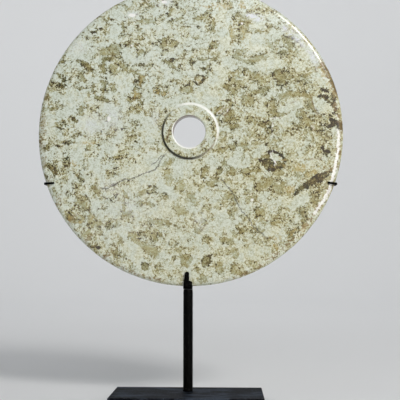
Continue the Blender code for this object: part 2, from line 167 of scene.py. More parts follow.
# Marks in the stone, in millimetres from the disc's centre, seen from the front:
# (right, up, half length, half width, turn in degrees, tone), tone 0 pale tan to 1 near black
STONE_MARKS = [
    # Upper right
    (16, 124, 6, 3, 0, 0.4), (24, 114, 3, 7, 0, 0.6), (55, 119, 9, 5, -20, 0.5), (57, 111, 6, 5, 0, 0.45),
    (54, 115, 2, 2, 0, 0.9), (54, 102, 3, 9, 0, 0.3), (50, 126, 3, 2, 0, 0.6), (43, 109, 2, 7, 0, 0.3),
    (26, 93, 5, 4, 0, 0.55), (23, 90, 3, 2, 0, 0.9), (51, 83, 7, 5, 0, 0.45), (73, 79, 9, 3, 15, 0.45),
    (62, 74, 6, 2, 0, 0.4), (82, 94, 5, 4, 0, 0.3), (96, 113, 4, 4, 0, 0.35), (84, 111, 3, 4, 0, 0.4),
    (73, 107, 6, 2, 0, 0.3), (105, 93, 5, 7, 0, 0.5), (98, 82, 6, 4, 10, 0.6), (96, 84, 2, 1.5, 0, 0.95),
    (103, 100, 6, 2, 0, 0.6), (9, 58, 3, 3, 0, 0.5), (21, 62, 3, 5, 0, 0.6), (16, 68, 5, 2, 0, 0.6),
    (21, 71, 2, 2, 0, 0.9), (95, 60, 9, 6, 0, 0.6), (96, 52, 6, 4, 0, 0.65), (112, 58, 8, 2, 0, 0.45),
    (49, 61, 4, 6, 0, 0.5), (59, 64, 4, 5, 0, 0.5), (68, 58, 5, 6, 0, 0.5), (75, 53, 5, 4, 0, 0.5),
    (46, 54, 5, 4, 0, 0.55), (39, 49, 5, 3, 0, 0.5), (52, 47, 6, 2, 0, 0.5), (47, 42, 4, 4, -30, 0.6),
    (60, 39, 7, 3, 0, 0.5), (77, 43, 6, 5, 0, 0.55), (67, 42, 4, 3, 0, 0.55), (61, 32, 7, 6, 0, 0.5),
    (61, 29, 4, 3, 0, 0.6), (99, 42, 7, 5, 0, 0.5), (118, 40, 6, 3, 15, 0.7), (123, 33, 4, 6, 0, 0.55),
    (118, 53, 6, 3, 0, 0.5), (125, 26, 4, 7, -20, 0.45), (43, 31, 5, 3, -30, 0.7), (32, 24, 7, 3, 28, 0.5),
    (42, 17, 6, 5, 0, 0.6), (36, 12, 4, 2, 0, 0.75), (46, 7, 4, 4, 0, 0.7), (88, 29, 5, 7, 0, 0.45),
    (89, 18, 8, 3, -10, 0.6), (116, 20, 6, 5, 40, 0.55), (122, 11, 7, 5, 0, 0.5), (131, 16, 6, 5, 0, 0.45),
    (109, 6, 3, 5, 0, 0.55), (133, 4, 7, 4, 0, 0.5), (142, -4, 6, 7, 0, 0.45), (74, 9, 7, 3, 0, 0.7),
    (84, 10, 4, 3, 0, 0.65), (84, 2, 3, 3, 0, 0.7), (63, 13, 4, 4, 0, 0.5), (148, 7, 6, 2.5, 25, 1),
    (138, 7, 4, 2, 20, 0.85), (140, 19, 2.5, 1, 20, 0.85),
    # Upper left
    (-85, 86, 9, 7, 0, 0.55), (-87, 79, 6, 3, 0, 0.7), (-78, 91, 6, 5, 0, 0.5), (-75, 83, 4, 4, 0, 0.6),
    (-70, 72, 5, 4, 0, 0.6), (-67, 69, 2, 2, 0, 0.75), (-90, 70, 3, 7, 0, 0.6), (-79, 68, 6, 6, 0, 0.5),
    (-112, 74, 5, 3, -20, 0.6), (-107, 69, 4, 3, -20, 0.65), (-115, 60, 4, 5, 0, 0.5),
    (-114, 48, 5, 2, 0, 0.6), (-133, 58, 3, 4, -30, 0.6), (-140, 53, 4, 2, 0, 0.55),
    (-137, 62, 3, 1.5, 0, 0.65), (-133, 49, 4, 1.5, 0, 0.6), (-147, 52, 3, 3, 0, 0.65),
    (-137, 77, 4, 2, 0, 0.55), (-119, 77, 3, 1.5, 0, 0.6), (-145, 26, 9, 1.5, 0, 0.55),
    (-116, 25, 2.5, 5, 0, 0.5), (-121, 14, 4, 2, -30, 0.7), (-135, 7, 6, 3, 0, 0.6),
    (-117, 0, 5, 2, 0, 0.5), (-99, 40, 2, 5, 20, 0.65), (-93, 37, 5, 2, 0, 0.65), (-85, 35, 5, 2, 0, 0.55),
    (-91, 50, 3, 7, -10, 0.55), (-91, 46, 2, 2, 0, 0.8), (-81, 49, 3, 5, 0, 0.5),
    (-102, 50, 3, 1.5, 0, 0.55), (-63, 64, 4, 3, 0, 0.6), (-55, 65, 4, 2, 0, 0.5), (-50, 57, 3, 5, 0, 0.55),
    (-55, 53, 5, 4, 0, 0.5), (-56, 42, 4, 8, 0, 0.5), (-64, 35, 3, 3, 0, 0.6), (-60, 26, 3, 2, 0, 0.6),
    (-53, 28, 4, 6, 0, 0.4), (-54, 10, 4, 3, 0, 0.55), (-61, -6, 4, 3, 0, 0.35), (-34, 44, 4, 2.5, 0, 0.6),
    (-28, 41, 5, 2.5, 0, 0.6), (-25, 49, 2, 1.2, -30, 0.75), (-3, 46, 6, 4, 0, 0.5),
    (-21, 73, 9, 3, -35, 0.6), (-12, 70, 4, 1.5, 35, 0.75), (-20, 77, 5, 2, 0, 0.65),
    (2, 74, 3, 3, 0, 0.65), (-52, 86, 6, 3, 0, 0.5), (-65, 95, 4, 1.5, 30, 0.75),
    (-56, 94, 3, 1.5, -30, 0.75), (-63, 92, 2, 2, 0, 0.65), (-52, 102, 3, 3, 0, 0.65),
    (-44, 119, 10, 2.5, 0, 0.45), (-71, 111, 2, 5, 0, 0.6), (-72, 103, 3, 1.5, 0, 0.65),
    (-54, 111, 3, 2, 0, 0.55), (-15, 120, 5, 1.5, 0, 0.6), (-27, 95, 4, 7, 0, 0.5), (-17, 95, 4, 4, 0, 0.5),
    (-37, 95, 3, 2, 0, 0.55), (-5, 86, 3, 2, 0, 0.6), (-87, 123, 4, 2, -10, 0.6),
    (-95, 112, 2.5, 1.5, 0, 0.75), (-101, 108, 4, 1.5, 0, 0.6), (-43, 136, 3, 1.5, 20, 0.55),
    (-37, 136, 2.5, 1, -20, 0.6), (-21, 129, 2, 6, -25, 0.45), (-70, 136, 4, 1.5, -15, 0.55),
    (-49, 72, 7, 1.5, 0, 0.5), (-13, 135, 3, 1.5, -30, 0.6),
    # Lower left
    (-84, -45, 6, 4, 0, 0.55), (-76, -37, 3, 1.5, 20, 0.85), (-77, -26, 8, 1.8, 8, 0.65),
    (-52, -30, 3, 1.5, 15, 0.35), (-57, -30, 0.8, 2, 30, 1), (-129, -28, 4, 8, 0, 0.6),
    (-129, -33, 2, 2, 0, 0.9), (-145, -36, 4, 3, -30, 0.8), (-141, -43, 3, 1.5, 0, 0.85),
    (-151, -16, 3, 2.5, 0, 0.8), (-138, -14, 4, 1.5, 0, 0.8), (-127, -10, 5, 2, 0, 0.7),
    (-117, -45, 4, 1.8, -50, 0.9), (-113, -50, 3, 1.5, -40, 0.8), (-120, -56, 2.5, 3, 0, 0.6),
    (-107, -16, 2.5, 3, 0, 0.7), (-101, -57, 3, 2, 0, 0.7), (-97, -62, 4.5, 2.2, -55, 0.6),
    (-83, -70, 4, 1.5, -30, 0.85), (-78, -66, 1.2, 2, 0, 0.9), (-113, -72, 8, 8, 0, 0.5),
    (-111, -80, 5, 3, 0, 0.75), (-114, -91, 5, 5, 0, 0.35), (-125, -88, 3, 4, 0, 0.7),
    (-102, -89, 4, 5, 0, 0.55), (-99, -96, 8, 4, 10, 0.45), (-90, -80, 5, 1.5, 15, 0.6),
    (-84, -96, 2.5, 3.5, 0, 0.85), (-65, -86, 6, 4, 0, 0.45), (-69, -82, 2, 7, -15, 0.7),
    (-76, -98, 4, 3, 0, 0.45), (-40, -60, 6, 4, 0, 0.45), (-43, -63, 1.5, 1.5, 0, 0.8),
    (-33, -63, 2.5, 1.2, 0, 0.65), (-27, -66, 5, 3, 0, 0.45), (-53, -65, 8, 2, 20, 0.45),
    (-39, -75, 5, 1.5, -18, 0.7), (-52, -75, 5, 3, 0, 0.3), (-23, -44, 4, 7, 15, 0.5),
    (-23, -32, 5, 3, 0, 0.55), (-34, -95, 8, 2.5, 0, 0.35), (-23, -96, 2, 3, 0, 0.7),
    (-48, -107, 5, 4, 0, 0.5), (-37, -109, 4, 5, 0, 0.45), (-31, -106, 3, 3, 0, 0.75),
    (-58, -109, 8, 4, -20, 0.4), (-40, -122, 11, 6, -45, 0.45), (-35, -125, 3, 4, 0, 0.6),
    (-46, -139, 4, 4, 0, 0.75), (-72, -114, 2, 4, 0, 0.6), (-76, -126, 4, 4, 0, 0.65),
    (-69, -128, 3, 4, 0, 0.5), (-101, -118, 4, 3, 0, 0.55), (-95, -120, 3, 1.5, 0, 0.9),
    (-60, -141, 4, 4, 0, 0.5), (-32, -141, 3, 4, 0, 0.45), (-4, -133, 7, 6, 0, 0.5),
    (-12, -120, 4, 6, 15, 0.4), (-10, -82, 5, 5, 0, 0.4), (-11, -56, 5, 6, 0, 0.5), (2, -67, 4, 5, 0, 0.55),
    (-43, -99, 3, 2, 0, 0.4), (-16, -131, 3, 3, 0, 0.5), (-50, -98, 1.5, 2, 0, 0.7),
    # Lower right
    (45, -15, 4, 5, 0, 0.7), (34, -19, 3, 3, 0, 0.5), (58, -15, 5, 4, 0, 0.5), (37, -34, 6, 3, -40, 0.55),
    (31, -40, 3.5, 4, 0, 0.75), (44, -41, 4, 5, 0, 0.55), (16, -39, 4, 3.5, 0, 0.6),
    (14, -46, 3, 2, 0, 0.6), (58, -41, 5, 4, 0, 0.5), (69, -39, 5, 2.5, 0, 0.5), (26, -49, 4, 3, 0, 0.5),
    (23, -54, 6, 3.5, 0, 0.5), (85, -51, 7, 4, 0, 0.5), (75, -57, 8, 5, 0, 0.4), (89, -60, 6, 4, 0, 0.5),
    (98, -53, 4, 3, 0, 0.45), (146, -41, 4, 2, 30, 0.75), (142, -22, 4, 3, 20, 0.9),
    (137, -17, 2, 2, 0, 0.9), (40, -67, 4, 4, 0, 0.5), (46, -68, 3, 5, 0, 0.6), (65, -70, 5, 3.5, 0, 0.65),
    (72, -83, 6, 5, 0, 0.65), (43, -84, 4, 4, 0, 0.4), (15, -94, 4, 3, 0, 0.5), (8, -103, 4, 3, 0, 0.5),
    (55, -103, 3.5, 3, 0, 0.6), (49, -99, 2, 3, 0, 0.6), (68, -102, 5, 3, 0, 0.5),
    (34, -113, 3.5, 3, 0, 0.65), (42, -113, 3, 3, 0, 0.65), (47, -126, 4, 5, 0, 0.4),
    (18, -112, 5, 4, 0, 0.45), (17, -134, 5, 6, -20, 0.75), (22, -129, 2, 1.2, 0, 1),
    (31, -141, 5, 6, 0, 0.45), (47, -143, 5, 5, 0, 0.5), (58, -147, 7, 2, 18, 0.35),
    (13, -153, 5, 3, 0, 0.55), (7, -142, 2, 2, 0, 0.75), (104, -106, 4, 6, 20, 0.75),
    (111, -102, 5, 2.5, 35, 0.7), (117, -87, 4, 9, 10, 0.65), (99, -114, 4, 4, 0, 0.5),
    (129, -69, 5, 7, 0, 0.5), (134, -59, 5, 4, 0, 0.45), (115, -43, 9, 4, 0, 0.3),
    (105, -65, 4, 3, 0, 0.45), (92, -94, 12, 2, 0, 0.35), (58, -57, 2, 4, 20, 0.5),
]
COLLAR_MARKS = [
    (-16, 9, 1.6, 5, -35, 0.75), (-20, 1, 1.6, 6, -8, 0.6), (-22, -7, 2, 3, 0, 0.6),
    (-10, -23, 2.5, 1.5, 0, 0.5), (15, -11, 1.5, 5, -30, 0.6), (24.5, 3, 1.2, 3.5, 0, 0.5),
    (20, -8, 1.2, 1, 0, 0.65), (15, -19, 2, 3, 0, 0.6), (2, -21, 2, 3, 0, 0.5), (19, 13, 1.5, 3, 30, 0.5),
]

# The hidden back carries the stone's marks too, turned about the axis by this many degrees, and
# their tones times this number
BACK_TURN = 137
BACK_TONE = 0.8

# Streaks and rings in the stone: a tone, then points in millimetres with the half width there
STREAKS = [
    (0.80, [(108, -65, 1.6), (113, -60, 2.2), (119, -57, 3.2), (124, -54, 4), (130, -50, 4.4),
            (136, -48, 4.8), (142, -44, 2.5)]),
    (0.95, [(108, -65, 1.2), (112, -60, 1.4), (118, -58, 1.2)]),
    (0.92, [(81, -21, 1.2), (88, -20, 1.5), (96, -25, 1.8), (99, -31, 2), (95, -37, 2), (88, -41, 2.2),
            (82, -39, 2)]),
    (0.80, [(77, -31, 2.5), (82, -31, 3.5), (86, -36, 3.5)]),
    (0.90, [(73, -30, 1), (79, -29, 1.2), (85, -30, 1.4)]),
    (0.85, [(138, 73, 1.5), (142, 66, 2.5), (147, 57, 3), (151, 48, 2.5), (154, 42, 1.5)]),
    (0.90, [(147, 12, 2.5), (152, 10, 3), (157, 6, 4)]),
    (1.00, [(138, 45, 1.5), (143, 43, 2.2)]),
    (1.00, [(136, 37, 2.2), (142, 36, 3)]),
    (0.90, [(144, 32, 1.6), (149, 29, 2), (153, 25, 1.6), (151, 20, 1.6), (147, 17, 1.2)]),
    (0.92, [(149, 40, 1.6), (151, 35, 2.2), (150, 31, 1.6)]),
    (0.85, [(5, 54, 1.2), (9, 50, 1.6), (13, 54, 1.5), (16, 60, 1.5), (21, 65, 1.6), (23, 69, 1.2)]),
]

# Smooth patches of one tone on the front, from 0 pale to 1 darkest, laid out like the streaks
PATCHES = [
    # Collar
    (0.58, [(-4, 21.5, 0.6), (-1, 22, 1.2), (2, 22, 0.7)]),
    # Lower left
    (0.56, [(-69, -82, 1.5), (-67, -86, 4), (-63, -85, 3)]), (0.42, [(-74, -92, 1.5), (-75, -98, 1.8)]),
    (0.80, [(-46, -139, 3.8), (-46, -140, 3.8)]),
    (0.53, [(-46, -119, 2.5), (-41, -123, 5), (-35, -126, 3.5)]),
    (0.54, [(-40, -93, 2), (-34, -94, 2.5), (-27, -93, 2)]), (0.68, [(-24, -93, 1.8), (-22, -97, 1.8)]),
    (0.68, [(-31, -106, 2.2), (-30, -107, 2.2)]), (0.62, [(-36, -109, 2.5), (-35, -113, 2.5)]),
    (0.50, [(-62, -107, 2), (-58, -108, 3)]), (0.50, [(-59, -112, 1.8), (-54, -114, 2.5), (-49, -118, 2)]),
    (0.56, [(-6, -131, 4), (-4, -136, 4.5), (1, -133, 3)]),
    (0.43, [(-24, -42, 3), (-21, -47, 3.5), (-22, -54, 2.5)]),
    (0.54, [(-27, -34, 2), (-23, -31, 3.2), (-17, -30, 2)]),
    (0.46, [(-9, -51, 3), (-7, -57, 2.5), (-12, -59, 2.5)]),
    (0.50, [(0, -66, 2.5), (4, -67, 2), (6, -74, 2.5)]),
    (0.47, [(-14, -77, 2.5), (-9, -82, 3.5), (-3, -85, 2.5)]),
    (0.64, [(-100, -58, 1.6), (-97, -62, 2.4), (-95, -65, 1.5)]),
    (0.60, [(-103, -56, 1.5), (-100, -57, 1.8)]), (0.66, [(-80, -26, 0.9), (-73, -25, 1.2)]),
    (0.74, [(-118, -44, 1.3), (-115, -47, 1.5), (-112, -49, 1.2)]),
    (0.68, [(-149, -33, 1.6), (-144, -37, 2)]), (0.66, [(-143, -42, 1.2), (-140, -43, 1.2)]),
    (0.72, [(-150, -15, 2), (-150, -17, 1.8)]), (0.64, [(-117, -72, 2), (-111, -75, 3), (-107, -79, 2)]),
    (0.68, [(-127, -86, 1.8), (-124, -89, 2.6), (-122, -93, 1.5)]),
    (0.42, [(-104, -86, 2), (-103, -92, 2)]), (0.45, [(-102, -97, 1.5), (-97, -96, 2.3), (-93, -95, 1.2)]),
    (0.56, [(-110, -107, 1.5), (-105, -104, 2.5)]),
    (0.72, [(-76, -121, 1.2), (-75, -125, 1.8), (-78, -129, 1.5), (-73, -130, 1.3)]),
    (0.66, [(-71, -110, 1.2), (-71, -116, 1.2)]),
    (0.62, [(-69, -60, 1.2), (-67, -66, 1.8), (-64, -69, 1.2)]), (0.54, [(-69, -71, 1), (-69, -79, 1.3)]),
    (0.40, [(-60, -68, 1), (-54, -65, 1.4), (-47, -61, 2)]), (0.66, [(-44, -74, 1.2), (-39, -77, 1.8)]),
    (0.58, [(-85, -94, 0.8), (-82, -95, 0.8), (-82, -99, 0.9), (-85, -99, 0.8), (-85, -94, 0.8)]),
    (0.60, [(-108, -14, 0.8), (-105, -14, 0.8), (-105, -18, 0.8), (-108, -17, 0.8), (-108, -14, 0.8)]),
    (0.40, [(-118, -89, 0.9), (-114, -87, 0.9), (-111, -91, 1), (-114, -95, 1), (-118, -93, 0.9)]),
    # Upper left
    (0.52, [(-56, 118, 1.5), (-48, 120, 2), (-38, 119, 1.5)]),
    (0.58, [(-93, 86, 2.5), (-86, 87, 4), (-78, 86, 3.5)]), (0.52, [(-82, 92, 2.5), (-76, 92, 2.5)]),
    (0.84, [(-91, 79, 1.5), (-86, 79, 2.2)]), (0.60, [(-74, 75, 1.3), (-70, 71, 1.8), (-68, 67, 2)]),
    (0.70, [(-91, 76, 1.6), (-92, 69, 1.8), (-90, 63, 1.3)]), (0.44, [(-82, 72, 2), (-79, 66, 3)]),
    (0.72, [(-116, 76, 1.5), (-111, 75, 1.8), (-106, 71, 1.8), (-103, 66, 1.2)]),
    (0.68, [(-139, 76, 1.5), (-134, 77, 1)]), (0.90, [(-131, 60, 1), (-134, 56, 1.3), (-136, 52, 1.2)]),
    (0.76, [(-137, 49, 1.2), (-132, 50, 1)]), (0.70, [(-140, 63, 1.2), (-137, 61, 1.2)]),
    (0.42, [(-115, 61, 1.3), (-112, 57, 2.2)]), (0.56, [(-115, 47, 1.5), (-111, 48, 1.5)]),
    (0.80, [(-123, 15, 1.5), (-119, 12, 1.8)]), (0.58, [(-115, 28, 1.5), (-114, 20, 1.5)]),
    (0.56, [(-155, 25, 1.5), (-142, 27, 1.2)]),
    (0.66, [(-100, 42, 0.8), (-98, 37, 1.5), (-93, 37, 1.6), (-86, 34, 1.2)]),
    (0.68, [(-92, 47, 1), (-91, 44, 1.2)]), (0.46, [(-80, 50, 1.3), (-80, 45, 1.8)]),
    (0.56, [(-92, 55, 1.8), (-90, 51, 1.8)]),
    (0.60, [(-63, 66, 1.6), (-58, 64, 1), (-52, 62, 1), (-49, 58, 1.6), (-50, 54, 1.2)]),
    (0.56, [(-57, 47, 1.3), (-58, 42, 1.5), (-53, 40, 1.5)]), (0.62, [(-65, 36, 1.2), (-63, 33, 1.5)]),
    (0.70, [(-59, 33, 0.7), (-55, 35, 0.8), (-51, 33, 0.8), (-50, 30, 0.7)]),
    (0.52, [(-61, 27, 1.2), (-58, 24, 0.9), (-54, 21, 0.9), (-51, 25, 0.9)]),
    (0.86, [(-34, 45, 1.3), (-32, 45, 1.3)]), (0.64, [(-30, 42, 1.2), (-25, 43, 1.4)]),
    (0.58, [(-5, 45, 2.5), (0, 45, 3)]),
    (0.64, [(-28, 77, 0.8), (-22, 74, 1.8), (-16, 70, 1.8), (-12, 70, 1)]),
    (0.80, [(-23, 78, 1), (-18, 77, 1.2)]), (0.80, [(2, 77, 1.2), (2, 73, 1.3)]),
    (0.62, [(-28, 100, 1.8), (-27, 93, 2.3)]), (0.50, [(-19, 92, 1.6), (-15, 96, 1.4)]),
    (0.66, [(-67, 94, 1), (-63, 96, 0.9), (-58, 93, 1), (-56, 91, 0.8)]),
    (0.52, [(-55, 84, 1), (-50, 87, 1.5)]), (0.58, [(-54, 102, 1.3), (-50, 102, 1.3)]),
    (0.64, [(-72, 117, 0.9), (-70, 112, 1.2), (-71, 107, 0.9)]), (0.60, [(-90, 121, 1), (-85, 123, 1.2)]),
    (0.60, [(-18, 119, 0.8), (-14, 121, 1), (-9, 121, 0.8)]),
    (0.62, [(-45, 134, 0.7), (-43, 138, 0.9), (-39, 135, 0.8), (-36, 136, 0.7)]),
    (0.46, [(-71, 136, 1), (-66, 134, 1), (-62, 135, 0.8)]), (0.56, [(-18, 133, 1.1), (-21, 127, 1.2)]),
    # Upper right
    (0.64, [(10, 78, 1.2), (17, 77, 1.4)]), (0.70, [(22, 77, 1.2), (28, 79, 1.2)]),
    (0.66, [(14, 66, 1.3), (19, 70, 1.5)]), (0.56, [(7, 122, 1.5), (13, 122, 1.3), (18, 124, 1.6)]),
    (0.60, [(25, 121, 1), (25, 114, 2), (25, 109, 2)]),
    (0.68, [(20, 87, 1.2), (23, 91, 1.8), (27, 91, 1.3), (29, 94, 1.4)]),
    (0.62, [(3, 102, 1), (8, 100, 1.2)]),
    (0.60, [(50, 126, 1.6), (54, 123, 1.8), (60, 121, 1.8), (63, 118, 2), (61, 113, 2), (57, 111, 2)]),
    (0.46, [(56, 108, 2), (56, 99, 2)]), (0.30, [(45, 110, 1.3), (44, 102, 1.3)]),
    (0.52, [(58, 87, 1.2), (50, 87, 1.3), (49, 81, 1.6), (53, 77, 1.6), (60, 75, 1.8), (68, 77, 2.3),
            (74, 79, 2.3), (81, 79, 1.4)]),
    (0.50, [(69, 107, 1), (76, 107, 1.3)]), (0.50, [(83, 94, 2.5), (86, 91, 2.5)]),
    (0.62, [(98, 100, 1.2), (103, 98, 1.6), (105, 92, 2.8), (107, 88, 1.8)]),
    (0.68, [(95, 84, 1.2), (100, 86, 1.8), (107, 86, 1)]),
    (0.68, [(92, 62, 3.5), (96, 57, 4.5), (98, 53, 3)]), (0.70, [(94, 65, 1), (99, 66, 1)]),
    (0.60, [(103, 57, 1.5), (110, 58, 1), (118, 57, 1.2), (122, 60, 1.4), (127, 62, 1.4)]),
    (0.60, [(62, 64, 1.4), (68, 61, 1.8), (73, 57, 2.2), (78, 53, 1.8)]),
    (0.54, [(46, 62, 1.8), (49, 58, 1.8), (45, 55, 1.4), (51, 54, 1.8), (56, 51, 1.3)]),
    (0.60, [(36, 49, 1.4), (43, 47, 2.3), (47, 42, 2.3)]),
    (0.60, [(56, 38, 1.4), (62, 35, 3.5), (64, 31, 3)]),
    (0.60, [(68, 42, 1.4), (76, 43, 2.2), (82, 46, 1.8)]),
    (0.60, [(92, 40, 1.4), (97, 37, 2.2), (103, 40, 2.7), (110, 40, 2.2), (118, 40, 1.4)]),
    (0.66, [(119, 39, 1.6), (125, 37, 1.8), (126, 30, 2.2), (130, 22, 1.4)]),
    (0.64, [(87, 32, 1.6), (88, 24, 2.2), (86, 19, 1.8), (95, 18, 1.8), (101, 19, 1.2)]),
    (0.64, [(26, 21, 1.2), (33, 25, 2.2), (38, 24, 1.6), (42, 27, 1.6), (44, 31, 1.2)]),
    (0.66, [(44, 22, 1.8), (40, 17, 2.6), (36, 13, 1.8), (42, 13, 1.8), (47, 14, 1.3)]),
    (0.58, [(39, 7, 1.2), (45, 5, 1.8), (50, 7, 1.4)]), (0.74, [(71, 10, 1.4), (75, 8, 2.6), (79, 6, 1.8)]),
    (0.62, [(112, 18, 1.4), (118, 20, 2.2), (121, 14, 2.2), (124, 8, 2.2), (132, 6, 1.8)]),
    # Lower right
    (0.66, [(42, -14, 1.8), (46, -16, 2)]), (0.50, [(32, -19, 1.8), (35, -19, 1.8)]),
    (0.50, [(55, -14, 1.6), (58, -17, 1.8)]), (0.68, [(35, -32, 1.8), (37, -34, 1.5)]),
    (0.48, [(29, -40, 1), (31, -42, 1.6), (34, -40, 1)]), (0.64, [(44, -39, 2.2), (46, -43, 2.6)]),
    (0.60, [(18, -38, 1.2), (15, -41, 1.6), (15, -45, 1.4)]),
    (0.60, [(57, -40, 1.8), (63, -41, 1.4), (72, -41, 1.2)]),
    (0.58, [(19, -55, 1.8), (24, -54, 1.8), (26, -51, 1.8)]),
    (0.60, [(73, -56, 3), (80, -55, 3), (84, -50, 3)]),
    (0.58, [(88, -56, 2), (92, -61, 2.5), (97, -54, 2)]),
    (0.52, [(38, -68, 2), (46, -67, 1.6), (47, -73, 2)]),
    (0.64, [(61, -73, 1.2), (60, -70, 1.4), (64, -68, 1.4), (69, -69, 1.2)]),
    (0.70, [(70, -81, 1.8), (71, -86, 2)]), (0.46, [(74, -82, 1.6), (76, -85, 1.8)]),
    (0.60, [(13, -92, 1.8), (17, -95, 1.8)]), (0.60, [(7, -102, 2.6), (9, -103, 2.6)]),
    (0.66, [(53, -104, 1.6), (56, -103, 1.6)]), (0.46, [(70, -102, 1.6), (76, -103, 1.6)]),
    (0.58, [(33, -113, 1.8), (38, -111, 1.5), (42, -113, 2)]), (0.46, [(45, -124, 2.5), (48, -128, 3)]),
    (0.74, [(15, -136, 2.6), (17, -133, 3.2), (20, -130, 1.5)]), (0.74, [(20, -129, 0.8), (23, -129, 1)]),
    (0.58, [(32, -137, 2.4), (30, -143, 3)]), (0.58, [(46, -139, 2), (46, -145, 2.4), (52, -147, 2)]),
    (0.58, [(6, -141, 1), (8, -142, 1.2)]), (0.58, [(13, -150, 2.6), (16, -153, 2.5)]),
    (0.94, [(108, -66, 1), (113, -60, 1.6), (119, -57, 2.2), (125, -53, 2.8), (131, -50, 3.2),
            (137, -47, 3.4), (141, -45, 2)]),
    (0.86, [(78, -34, 2.5), (86, -35, 4), (93, -34, 3)]), (0.84, [(76, -26, 1.8), (81, -25, 2)]),
    (0.86, [(79, -38, 1.3), (86, -40, 1.8), (92, -38, 1.3), (98, -32, 1.4)]),
    (0.52, [(94, -94, 1.2), (86, -95, 1.4), (78, -96, 1.4)]),
    (0.70, [(117, -83, 1.4), (116, -91, 1.6), (119, -98, 1.4)]),
    (0.78, [(104, -104, 1.4), (104, -109, 1.6), (107, -113, 1.3)]),
    (0.68, [(128, -66, 1.6), (127, -72, 2), (131, -74, 1.6)]), (0.52, [(89, -42, 2.2), (97, -42, 2.2)]),
]

# Broad areas where the stone is more mottled, or less: (right, up, half width, half height, amount)
BROAD_AREAS = [
    (2, 126, 18, 16, 0.5), (-59, 106, 30, 20, -0.4), (106, 86, 25, 30, 0.5), (101, 48, 30, 25, 0.5),
    (89, -11, 22, 24, 1.1), (122, 4, 20, 15, 0.9), (147, -33, 16, 36, 0.8), (31, 5, 15, 15, 0.6),
    (-27, 7, 14, 14, 0.4), (-55, -47, 26, 24, -0.7), (2, -52, 18, 14, -0.6), (-144, -52, 15, 18, 0.7),
    (108, -65, 30, 24, 0.5), (80, -106, 30, 25, 0.7), (41, -82, 22, 20, 0.3), (-55, -109, 20, 15, -0.4),
    (40, 134, 20, 14, 0.5), (68, 128, 12, 10, 0.3), (-100, 42, 36, 13, -0.35), (-85, 10, 34, 13, 0.3),
    (-83, -20, 14, 12, -0.3), (-113, -50, 14, 12, -0.3), (-42, 115, 34, 18, -0.3),
    (-53, -140, 14, 10, -0.4),
]

# Pale bluish veils, and painted sheen highlights near the rim at the upper right (the last nine,
# and (-61, 126) and (-27, 139) as painted glints), laid out like the broad areas
PALE_VEILS_AND_PAINTED_SHEENS = [
    (-104, 8, 9, 10, 0.5), (-81, 15, 11, 13, 0.45), (-82, -58, 9, 7, 0.4), (-64, -78, 8, 10, 0.25),
    (-61, 126, 6, 4, 0.8), (-27, 139, 7, 3, 0.8), (-118, 92, 10, 8, 0.4), (-36, 14, 5, 9, 0.4),
    (12, -94, 8, 9, 0.3), (-65, -88, 50, 40, 0.14), (-20, 80, 60, 40, 0.04), (64, 124, 5, 2.2, 1.8),
    (72, 121, 5, 2.5, 1.9), (100, 110, 3, 4, 1.1), (107, 105, 3, 4, 1.3), (113, 100, 3, 4, 1.3),
    (119, 94, 3, 4, 1.2), (125, 87, 2.5, 4, 1.2), (129, 79, 2.5, 5, 1), (133, 71, 2.5, 5, 0.8),
]

# Pockets where the stone is plain: (right, up, half length, half width, turn). The last one, the
# collar's plain inner part, is on the front alone.
PLAIN_POCKETS = [
    (34, 110, 9, 26, 0), (71, 95, 14, 9, 0), (69, 117, 8, 6, -20), (17, 39, 13, 8, 0), (113, 31, 11, 5, 15),
    (140, 27, 10, 8, -50), (85, 73, 12, 5, 0), (114, 69, 7, 6, 0), (76, 22, 5, 4, 0), (99, 10, 5, 8, 0),
    (106, -10, 9, 9, 0), (-63, 82, 6, 9, 0), (-71, 54, 9, 9, 0), (-118, 90, 12, 9, 40),
    (-107, 10, 12, 12, 0), (-149, 13, 5, 12, 0), (-124, 36, 8, 10, 0), (-43, -34, 24, 10, 22),
    (-92, -47, 9, 5, 0), (-78, -82, 8, 6, 20), (-58, -122, 10, 7, 0), (-113, -16, 9, 8, 0),
    (-30, -80, 14, 7, 0), (64, -126, 18, 6, 12), (36, -97, 9, 6, 0), (104, -72, 10, 7, 0),
    (61, -55, 5, 4, 0), (86, -103, 8, 5, 0), (117, -68, 5, 4, 0), (90, -26, 5, 3, -20), (29, 59, 10, 12, 0),
    (-43, 4, 9, 11, 0), (121, 84, 6, 8, -30), (142, 56, 5, 8, -60), (3, -150, 6, 3, 0),
]
COLLAR_POCKET = (0, 0, 21, 21, 0)

# Ochre spots and stains, white crystals with two painted glints at (-61, 126) and (-27, 140), and brown
# stains along the rim, partly painted shade on its outer edge, laid out like the pockets
OCHRE_SPOTS = [
    (-103, -10, 5, 1.5, 0), (-110, -10, 3, 1, 0), (-122, -33, 4, 2.5, 0), (-57, 42, 1.5, 4, 0),
    (-27, 41, 3, 2, 0), (17, 134, 4, 2, 0), (34, 135, 9, 2, 0), (55, 135, 4, 3, 0), (44, 104, 1, 6, 0),
    (56, 101, 1.2, 4, 0), (-125, -89, 1.6, 1.4, 0), (-102, -56, 2, 1.2, 0), (-114, -94, 2.5, 1, 0),
    (-102, -88, 1.5, 2.5, 0), (88, -119, 5, 1.5, -35), (90, -110, 4, 1.5, 0), (105, -107, 5, 2, 60),
    (97, -31, 2.5, 4, 20), (147, -40, 3, 2, 0), (104, -61, 4, 4, 0), (115, -38, 8, 4, 0), (10, 55, 3, 2, 0),
    (-52, 24, 1.2, 1.5, 0), (118, -100, 6, 3, 45), (129, -42, 8, 2, 25), (140, 62, 3, 9, 20),
    (148, 44, 2.5, 8, 20), (-34, 44, 3, 2, 0), (-51, 57, 2, 4, 0),
]
